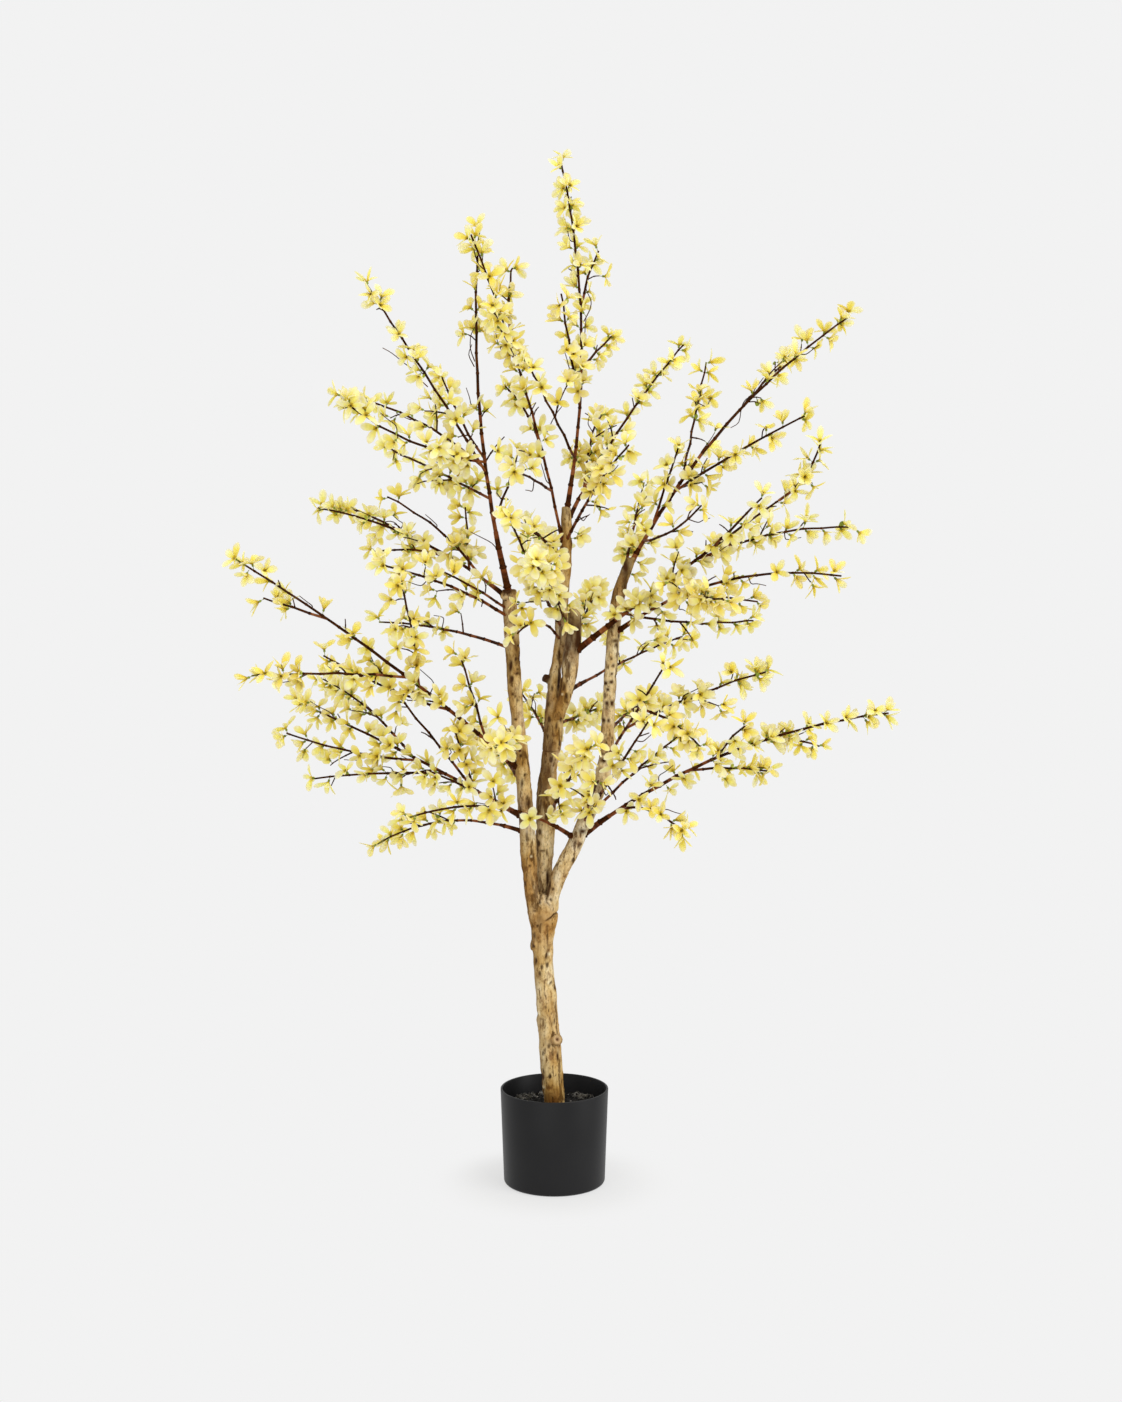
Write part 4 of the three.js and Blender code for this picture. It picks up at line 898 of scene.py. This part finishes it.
def grow(spray, curve, start, first_radius, tip_radius, bloom, kind, seed, first=28):
    """Adds a twig to its spray: its tube now, and its blossom nodes for later."""
    deal = seeded(seed)
    path, radii, near, joints = jointed(
        curve, start, 1, first, lambda share: first_radius + (tip_radius - first_radius)
        * max(0.0, share - start) / (1 - start), 0.5 if kind == "leader" else 0.9, deal)
    marks = []
    for ring, mark in enumerate(near):
        share = start + (1 - start) * ring / len(near)
        is_red = share < RED_UNTIL.get(kind, 0)
        is_olive = share > (FINE_OLIVE_FROM if kind == "fine" else OLIVE_FROM)
        marks.append(1 if mark else 0 if is_red else 2 if is_olive else 3)
    add_tube(twig_heap, path, radii, FINE_SIDES if kind == "fine" else TWIG_SIDES, marks)
    shoots.append({"spray": spray, "curve": curve, "length": limb_length(curve), "start": start,
                   "bloom": bloom, "kind": kind, "joints": joints, "end": path[-1]})


for number, spray in enumerate(sprays):
    grow(spray, spray["curve"], spray["start"], spray["radius"] * LEADER_THINNING, SHOOT_TIP_RADIUS,
         spray["bloom"], "leader", LEADER_SEED + number)
for number, spray in enumerate(sprays):
    for place, (share, tip, bow) in enumerate(spray["shoots"]):
        curve = bowed(on_limb(spray["curve"], share), tip, bow)
        bloom = SHOOT_BLOOMS.get((spray["name"], place), SHOOT_BLOOM)
        grow(spray, curve, 0.0, SHOOT_RADIUS, SHOOT_TIP_RADIUS, bloom, "shoot",
             SHOOT_SEED + 10 * number + place)


def deal_spurs(shoot, rule, deal, kind, seed):
    """Short twigs that leave a shoot at an angle, dealt along and round it."""
    length, along = shoot["length"], shoot["start"] * shoot["length"] + rule["first"]
    while along < length - rule["first"] * (1 if kind == "spur" else 0.5):
        root = on_limb(shoot["curve"], along / length)
        heading = heading_at(shoot["curve"], along / length)
        lean = math.radians(rule["angle"] * (0.8 + 0.4 * deal()))
        out = outward(heading, TURN * deal())
        reach = between(rule["reach"], deal())
        tip = root + reach * (heading * math.cos(lean) + out * math.sin(lean))
        if kind == "spur" or along / length > shoot["bloom"] - 0.08:
            grow(shoot["spray"], bowed(root, tip, rule["bow"]), 0.0, rule["radius"], 0.8,
                 0.0, kind, seed, first=12 if kind == "fine" else 16)
        seed += 1
        along += rule["step"]


main_shoots = list(shoots)
for index, spray in enumerate(sprays):
    own = [shoot for shoot in main_shoots if shoot["spray"] is spray]
    for number, shoot in enumerate(own):
        deal_spurs(shoot, SPUR, seeded(SPUR_RULE_SEED * (index + 1) + number), "spur",
                   SPUR_SEED + 40 * index + 4 * number)
for number, shoot in enumerate(main_shoots):
    deal_spurs(shoot, FINE_SPUR, seeded(FINE_RULE_SEED + number), "fine", FINE_SEED + 30 * number)


def add_wire(points):
    """A thin dark wire that runs in soft kinks through its points."""
    points = np.array(points, dtype=float)
    fine = np.linspace(0, len(points) - 1, 3 * len(points) - 2)
    path = np.column_stack([np.interp(fine, range(len(points)), points[:, axis]) for axis in range(3)])
    path[1:-1] = path[1:-1] / 2 + (path[:-2] + path[2:]) / 4
    add_tube(wire_heap, path, np.linspace(WIRE_RADIUS * 1.15, WIRE_RADIUS * 0.75, len(path)), WIRE_SIDES)


for points in WIRES:
    add_wire(points)
for number, shoot in enumerate(main_shoots):
    deal = seeded(WIRE_RULE_SEED + number)
    along = shoot["start"] * shoot["length"] + WIRE_EVERY * (0.3 + 0.7 * deal())
    while along < shoot["length"] - 45:
        share = along / shoot["length"]
        heading = heading_at(shoot["curve"], share)
        out = outward(heading, TURN * deal())
        away, onward = 9 + 9 * deal(), 12 + 14 * deal()
        root = on_limb(shoot["curve"], share)
        kinks = [root, root + out * away + heading * 4,
                 root + out * (away + 3 * deal()) + heading * onward,
                 root + out * (away + 6 * deal()) + heading * (onward + 14)]
        add_wire(kinks)
        shoots.append({"spray": shoot["spray"], "curve": bowed(kinks[2], kinks[3], 0),
                       "kind": "wire", "joints": [], "end": kinks[3]})
        along += WIRE_EVERY * (0.7 + 0.6 * deal())

dark_bark_finish = clouded(
    "dark_twig_paint", 0.5, 0.02, 55, [(0.34, "200E02"), (0.52, "3A1C06"), (0.7, "5C3614")], 600, 0.25)
olive_tip_finish = clouded(
    "olive_tip_paint", 0.55, 0.15, 90, [(0.34, "4A4018"), (0.66, "7C7A2A")], 600, 0.2)
twigs = make_piece(
    "twigs", twig_heap, [red_bark_finish, dark_node_finish, olive_tip_finish, dark_bark_finish], SHARP)
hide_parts(*[f"{name}_spray" for name in BOUGHS])
wires = make_piece("wires", wire_heap, [dark_bark_finish], SHARP)

# ---- Blossoms --------------------------------------------------------------------------------
# Each blossom is four or five petals die-cut from polyester cloth, heat-pressed into a shallow
# cup and threaded on a thin green stalk with a small moulded cup behind and a dark eye in front.
# The eye's dark colour is partly painted shade, deep in the blossom's throat.

PETAL_STATIONS = np.array([0.0, 0.2, 0.45, 0.72, 0.92])
PETAL_WIDTHS = np.array([0.25, 0.58, 0.93, 0.97, 0.55])
PETAL_LENGTHS, PETAL_HALF_WIDTHS, PETAL_THICKNESS = (19, 24), (4.8, 6.2), 0.3
PETAL_ROLL = 0.95
PETAL_FACES = [face for i in range(4) for face in (
    (3 * i, 3 * i + 1, 3 * i + 4, 3 * i + 3), (3 * i + 1, 3 * i + 2, 3 * i + 5, 3 * i + 4))]
PETAL_FACES += [(12, 13, 15), (13, 14, 15)]
BOTTOM = {1: 16, 4: 17, 7: 18, 10: 19, 13: 20}
PETAL_FACES += [tuple(BOTTOM.get(i, i) for i in face)[::-1] for face in PETAL_FACES] + [(0, 16, 2, 1)]
STALK, FIVE_PETALS = (5.5, 9.5), 0.26  # its length, and the share of blossoms with five petals
WOOD_ROOM = 7.5  # that a blossom's middle keeps from a stem or bough
FACES_A_PIECE = 95000  # of petals, in the first of their two pieces
CUP_ENDS, CUP_RADII = (-2.6, 1.6), (1.9 * 0.7, 1.9, 1.5)  # from the petals' foot, back and forward
EYE_STATIONS, EYE_RADII = (1.2, 3.2, 4.4), (1.5, 1.25, 0.5)
BLOSSOM_SEED, SHADE_SEED, LONE_SEED = 30000, 500, 40000
BLOSSOM_SPACING = 15  # middles of two blossoms stay this far apart
NODE_CHANCE = {"leader": 0.84, "shoot": 0.76, "spur": 0.55, "fine": 0.26, "wire": 0.0}
TIP_COUNT = {"leader": 2, "shoot": 2, "spur": 2, "fine": 1, "wire": 1}
NODE_TURN = math.radians(137.5)  # from each joint of a twig to the next
LEAF_CHANCE = 0.2
# Where the blossom stands fuller than the rule deals it, and where thinner: by how much, and the
# middles of those patches, across and up. A patch reaches this far and right through the crown.
PATCH_REACH = 34
PATCHES = {
    2.2: [(298, 866)],
    2.0: [(460, 695), (210, 925), (-370, 750), (-440, 925), (-165, 770), (185, 895), (-135, 645)],
    1.9: [(188, 718), (-278, 1125)],
    1.8: [(-135, 1040), (37, 1405), (122, 1165), (155, 880), (-136, 924), (37, 895), (37, 1038),
        (-223, 908), (65, 1378), (298, 634), (66, 808)],
    1.7: [(-136, 720), (268, 752), (124, 924), (300, 950), (95, 866), (239, 1036), (354, 1010)],
    1.6: [(300, 665), (37, 1450), (-50, 895), (-90, 650), (211, 1038), (-79, 545), (67, 545), (211, 545)],
    1.5: [(-105, 1265), (380, 950), (-335, 1010), (-368, 836), (153, 720), (-72, 1150), (-20, 1095)],
    1.4: [(-340, 690), (-50, 605), (-50, 1210), (37, 662)],
    1.3: [(-225, 1212), (340, 888)],
    0.8: [(327, 924)],
    0.6: [(210, 1080), (295, 1010), (180, 808), (330, 1180), (66, 1124), (-426, 750), (-339, 634),
        (154, 634), (240, 895), (300, 750), (-107, 955), (-223, 722), (-194, 1124)],
    0.5: [(-195, 692), (-20, 1150), (-395, 895), (-80, 692), (268, 905), (-80, 1095), (-338, 866),
        (-250, 692), (-252, 952), (269, 692), (-20, 837)],
    0.4: [(-20, 1040), (295, 1150), (-195, 575), (240, 750), (-50, 1010), (-136, 866)],
    0.3: [(-135, 837), (125, 780), (-105, 1210), (-310, 808), (50, 980), (66, 600), (-112, 1170),
        (-281, 837), (-165, 1010)],
    0.25: [(92, 720), (-20, 975), (123, 1038), (-310, 779)],
    0.2: [(210, 980), (-195, 1010), (120, 722), (383, 1124)]}
patch_rows = [(x, z, factor) for factor, places in PATCHES.items() for x, z in places]
# Lone blossoms on bare stretches: the bough, then the share along it and which way each faces.
LONE_STANDOFF, LONE_SPACING = 5, 10
LONE_BLOSSOMS = [
    ("right_low", [(0.17, 0.2, -0.9, -0.3), (0.25, 0.3, -0.6, 0.7), (0.31, 0.5, -0.5, -0.7),
        (0.38, -0.2, -0.7, -0.6)]),
    ("low_cross", [(0.31, 0.1, -0.97, -0.25), (0.2, 0.3, -0.8, 0.5)]),
    ("right_top", [(0.02, 0.85, -0.5, -0.2), (0.05, -0.5, -0.8, 0.3), (0.06, 0.7, -0.6, -0.3),
        (0.09, -0.6, -0.6, 0.5), (0.11, 0.8, -0.55, 0.1), (0.14, -0.2, -0.9, 0.4)]),
    ("right_mid", [(0.17, 0.2, -0.7, 0.7), (0.22, 0.5, -0.6, -0.6)]),
    ("centre_right", [(0.02, 0.9, -0.4, 0.1), (0.1, 0.8, -0.5, -0.4)]),
    ("left_fan", [(0.24, 0.3, -0.7, 0.6)]),
    ("right_reach", [(0.27, 0.5, -0.6, -0.6), (0.31, -0.2, -0.6, 0.8), (0.36, 0.3, -0.8, 0.5)]),
    ("right_low", [(0.95, 0.3, -0.7, 0.6)]),
    ("right_reach", [(0.23, -0.4, -0.8, 0.4), (0.25, 0.4, -0.7, 0.7), (0.29, 0.1, -0.9, -0.5),
        (0.34, -0.3, -0.9, -0.2)]),
    ("left_reach", [(0.32, 0.2, -0.8, 0.6), (0.36, -0.4, -0.8, -0.4), (0.4, 0.3, -0.7, -0.6),
        (0.3, -0.2, -0.9, 0.3), (0.34, 0.5, -0.6, 0.2), (0.38, -0.5, -0.6, 0.6), (0.92, 0.3, -0.8, 0.5),
        (0.96, -0.2, -0.8, -0.5)]),
    ("right_reach", [(0.45, 0.4, -0.7, 0.6), (0.5, -0.2, -0.8, -0.5)]),
    ("centre_left", [(0.31, -0.5, -0.8, 0.2), (0.36, 0.6, -0.7, 0.3)]),
    ("back_rise", [(0.8, 0.6, -0.7, 0.2), (0.88, -0.6, -0.7, 0.3), (0.94, 0.2, -0.7, 0.7),
        (0.84, 0.1, -0.9, -0.4), (0.98, -0.4, -0.8, -0.3), (0.76, -0.3, -0.8, 0.6)])]
lone_rows = [(bough, *row) for bough, rows in LONE_BLOSSOMS for row in rows]

PETAL_REACHES = [share for share in PETAL_STATIONS for _ in range(3)] + [1.0] + list(PETAL_STATIONS)

petal_heaps = [new_heap(), new_heap()]
cup_heap, leaf_heap = new_heap(), new_heap()
blossom_middles = []
line_starts = np.array([line[0] for line in solid_lines])
line_ways = np.array([line[1] - line[0] for line in solid_lines])
line_radii = np.array([line[2] for line in solid_lines])


def clears_wood(place, room):
    """Whether a ball of radius `room` there is clear of the stems and boughs."""
    share = np.clip(((place - line_starts) * line_ways).sum(1) / (line_ways ** 2).sum(1), 0, 1)
    far = np.linalg.norm(line_starts + share[:, None] * line_ways - place, axis=1)
    return bool((far > line_radii + room).all())


def add_petal(heap, base, axis, out, length, half_width, open_start, open_end, cup, finishes, thickness,
              roll=0.0):
    """One thin closed petal: its middle line leans away from the blossom's axis as it runs out."""
    lean = open_start + (open_end - open_start) * np.minimum(1, np.append(PETAL_STATIONS, 1.0) / 0.5)
    lean[-1] += 0.25
    steps = np.diff(np.append(PETAL_STATIONS, 1.0)) * length
    middle = [base]
    for i, step in enumerate(steps):
        middle.append(middle[-1] + step * (axis * math.cos(lean[i + 1]) + out * math.sin(lean[i + 1])))
    middle = np.array(middle)
    above = axis * np.sin(lean)[:, None] - out * np.cos(lean)[:, None]
    corners = []
    for i, width in enumerate(PETAL_WIDTHS):
        edge, lift, turn = half_width * width, cup * width, roll * min(1.0, 0.3 + PETAL_STATIONS[i])
        across = np.cross(axis, out) * math.cos(turn) + above[i] * math.sin(turn)
        corners += [middle[i] - across * edge + above[i] * lift,
                    middle[i] + above[i] * thickness,
                    middle[i] + across * edge + above[i] * lift]
    corners.append(middle[5] + above[5] * cup * 0.3)
    corners += [middle[i] - above[i] * thickness for i in range(5)]
    # The faces at the petal's foot take the throat finish, with its painted shade.
    base_finish, finish = finishes
    marks = [base_finish, base_finish] + [finish] * 8
    add_shape(heap, corners, PETAL_FACES, marks + marks + [base_finish])


def add_blossom(root, facing, deal, shade, spacing=BLOSSOM_SPACING):
    """A stalk, a cup, four or five petals and a dark eye, where there is room for them."""
    stalk = between(STALK, deal())
    base = root + facing * stalk
    count = 5 if deal() < FIVE_PETALS else 4
    length = between(PETAL_LENGTHS, deal())
    openness = deal()
    middle = base + facing * 4
    crowded = blossom_middles and (
        np.linalg.norm(np.array(blossom_middles) - middle, axis=1).min() < spacing)
    if crowded or not clears_wood(middle, WOOD_ROOM):
        return
    blossom_middles.append(middle)
    side = outward(facing, TURN * deal())
    other = np.cross(facing, side)
    heap = petal_heaps[len(petal_heaps[0]["faces"]) > FACES_A_PIECE]
    for number in range(count):
        turn = TURN * (number + 0.35 * (deal() - 0.5)) / count
        out = side * math.cos(turn) + other * math.sin(turn)
        half_width = between(PETAL_HALF_WIDTHS, deal())
        size = 0.88 + 0.2 * deal()
        open_start = math.radians(22 + 16 * deal())
        open_end = math.radians(34 + 50 * openness + 30 * (deal() - 0.5))
        pick_shade = deal()
        finish = shade if pick_shade < 0.7 else (shade + 1) % 3
        add_petal(heap, base + out * 0.7 + facing * 0.6, facing, out, length * size, half_width * size,
                  open_start, open_end, 0.7 + 0.9 * deal(), (3, finish), PETAL_THICKNESS,
                  PETAL_ROLL * (2 * deal() - 1))
    add_tube(cup_heap, [root, root + facing * stalk * 0.5 + side * 0.4, base], [0.55, 0.5, 0.6], 3, 0)
    low, high = [base + facing * end for end in CUP_ENDS]
    add_tube(cup_heap, [low, (low * 2 + high) / 3, high], CUP_RADII, 5, 0)
    # The dark eye: partly painted shade deep in the throat.
    add_tube(cup_heap, [base + facing * along for along in EYE_STATIONS], EYE_RADII, 5, 1)


def fullness(place):
    """How much fuller or thinner than the rule the blossom stands there."""
    far = [math.hypot(place[0] - x, place[2] - z) for x, z, _ in patch_rows]
    nearest = int(np.argmin(far))
    return patch_rows[nearest][2] if far[nearest] < PATCH_REACH else 1.0


def add_leaf(root, facing, deal, size):
    """A small olive leaf or bud that stands close along its twig."""
    half_width = size * (0.26 + 0.12 * deal())
    out = outward(facing, TURN * deal())
    finish = 0 if deal() < 0.6 else 1
    add_petal(leaf_heap, root, facing, out, size, half_width, math.radians(8), math.radians(24), 0.8,
              (finish, finish), 0.5)


for index, shoot in enumerate(shoots):
    deal = seeded(BLOSSOM_SEED + index)
    spray_shade = seeded(SHADE_SEED + shoot["spray"]["index"])
    spray_shade()
    shade = int(3 * spray_shade()) if deal() < 0.5 else int(3 * deal())
    for number, (along, joint) in enumerate(shoot["joints"]):
        share, full = along / shoot["length"], fullness(joint)
        if share < shoot["bloom"] - 0.15 * (full > 1.5) or deal() < 0.06 / full:
            continue
        heading = heading_at(shoot["curve"], share)
        angle = NODE_TURN * number + TURN * deal() * 0.25
        dense = NODE_CHANCE[shoot["kind"]] * (1.05 - 0.1 * share) * min(full, 1.3)
        quarters = (0, 2, 1, 3) if full > 1.3 else (0, 2)
        for quarter in quarters:
            if deal() > dense:
                continue
            out = outward(heading, angle + quarter * math.pi / 2 + 0.5 * (deal() - 0.5))
            lean = math.radians(20 + 38 * deal())
            facing = heading * math.sin(lean) + out * math.cos(lean)
            add_blossom(joint, facing, deal, shade, BLOSSOM_SPACING / max(1, full ** 0.5))
        if deal() < LEAF_CHANCE:
            out = outward(heading, angle + math.pi / 2)
            add_leaf(joint, heading * 0.75 + out * 0.66, deal, 7 + 5 * deal())
    if shoot["kind"] == "wire" and deal() < 0.45:
        continue
    if shoot["kind"] in ("spur", "fine", "wire") and fullness(shoot["end"]) < min(1.0, deal() + 0.1):
        continue
    heading = heading_at(shoot["curve"], 1.0)
    turn = TURN * deal()
    for number in range(TIP_COUNT[shoot["kind"]]):
        out = outward(heading, turn + TURN * number / TIP_COUNT[shoot["kind"]])
        lean = math.radians(35 + 30 * deal())
        facing = heading * math.sin(lean) + out * math.cos(lean)
        back = 3 + 13 * number if shoot["kind"] in ("leader", "shoot") else 2
        add_blossom(shoot["end"] - heading * back, facing, deal, shade)
for number, (name, share, *facing) in enumerate(lone_rows):
    way = unit(np.array(facing))
    place = on_limb(sprays[list(BOUGHS).index(name)]["curve"], share) + way * LONE_STANDOFF
    add_blossom(place, way, seeded(LONE_SEED + number), 0, LONE_SPACING)

# Each shade of cloth: its colour at the throat, deeper by dye and by painted shade, where the petal is
# widest, and at the rim.
PETAL_SHADES = [
    ("lemon_cloth", "DDC834", "F4EA88", "F4EEBC"), ("butter_cloth", "D8BC2C", "F2E478", "F3E9B0"),
    ("gold_cloth", "CEAA28", "ECD45C", "F3E194"), ("throat_cloth", "B49018", "CCAC2C", "DAC048")]
petal_finishes = []
for name, throat, middle, rim in PETAL_SHADES:
    finish = new_finish(name, 0.7, 0.15, Subsurface_Weight=0.6, Subsurface_Scale=0.004,
                        Subsurface_Radius=(1, 0.93, 0.55))
    # Painted shade: each petal darkens towards its throat, where the cup shades it, over the cloth's own
    # deeper tone.
    cloth = shades(attribute("reach"), (0.1, throat), (0.5, middle), (0.95, rim))
    cloth = blend_colours(shades(patches(90, detail=2), (0.42, 0), (0.68, 0.5)), cloth, "E2C052")
    set_surface(cloth, patches(900, detail=2), 0.15)
    petal_finishes.append(finish)
for number, heap in enumerate(petal_heaps):
    petals = make_piece(f"petals_{number + 1}", heap, petal_finishes, SHARP)
    reaches = np.tile(PETAL_REACHES, heap["count"] // len(PETAL_REACHES)).astype(np.float32)
    petals.data.attributes.new("reach", "FLOAT", "POINT").data.foreach_set("value", reaches)
    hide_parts(*[f"{name}_spray" for name in BOUGHS])
green_finish = clouded("green_stalk", 0.5, 0.12, 150, [(0.35, "5E6A22"), (0.65, "8E9A3A")], 900, 0.1)
# Partly painted shade: the eye's dark olive stands for the shade deep in each blossom's throat.
eye_shade_finish = clouded("dark_eye", 0.6, 0.1, 200, [(0.35, "5C4A16"), (0.65, "8A7A2C")], 900, 0.1)
cups = make_piece("stalks_and_cups", cup_heap, [green_finish, eye_shade_finish], SHARP)
leaf_finishes = [
    clouded(name, 0.55, 0.12, 160, [(0.35, deep), (0.65, light)], 900, 0.2)
    for name, deep, light in (("olive_leaf", "6E7A24", "93A03A"), ("lime_leaf", "A3AE3C", "C2C85A"))]
leaves = make_piece("leaves_and_buds", leaf_heap, leaf_finishes, SHARP)
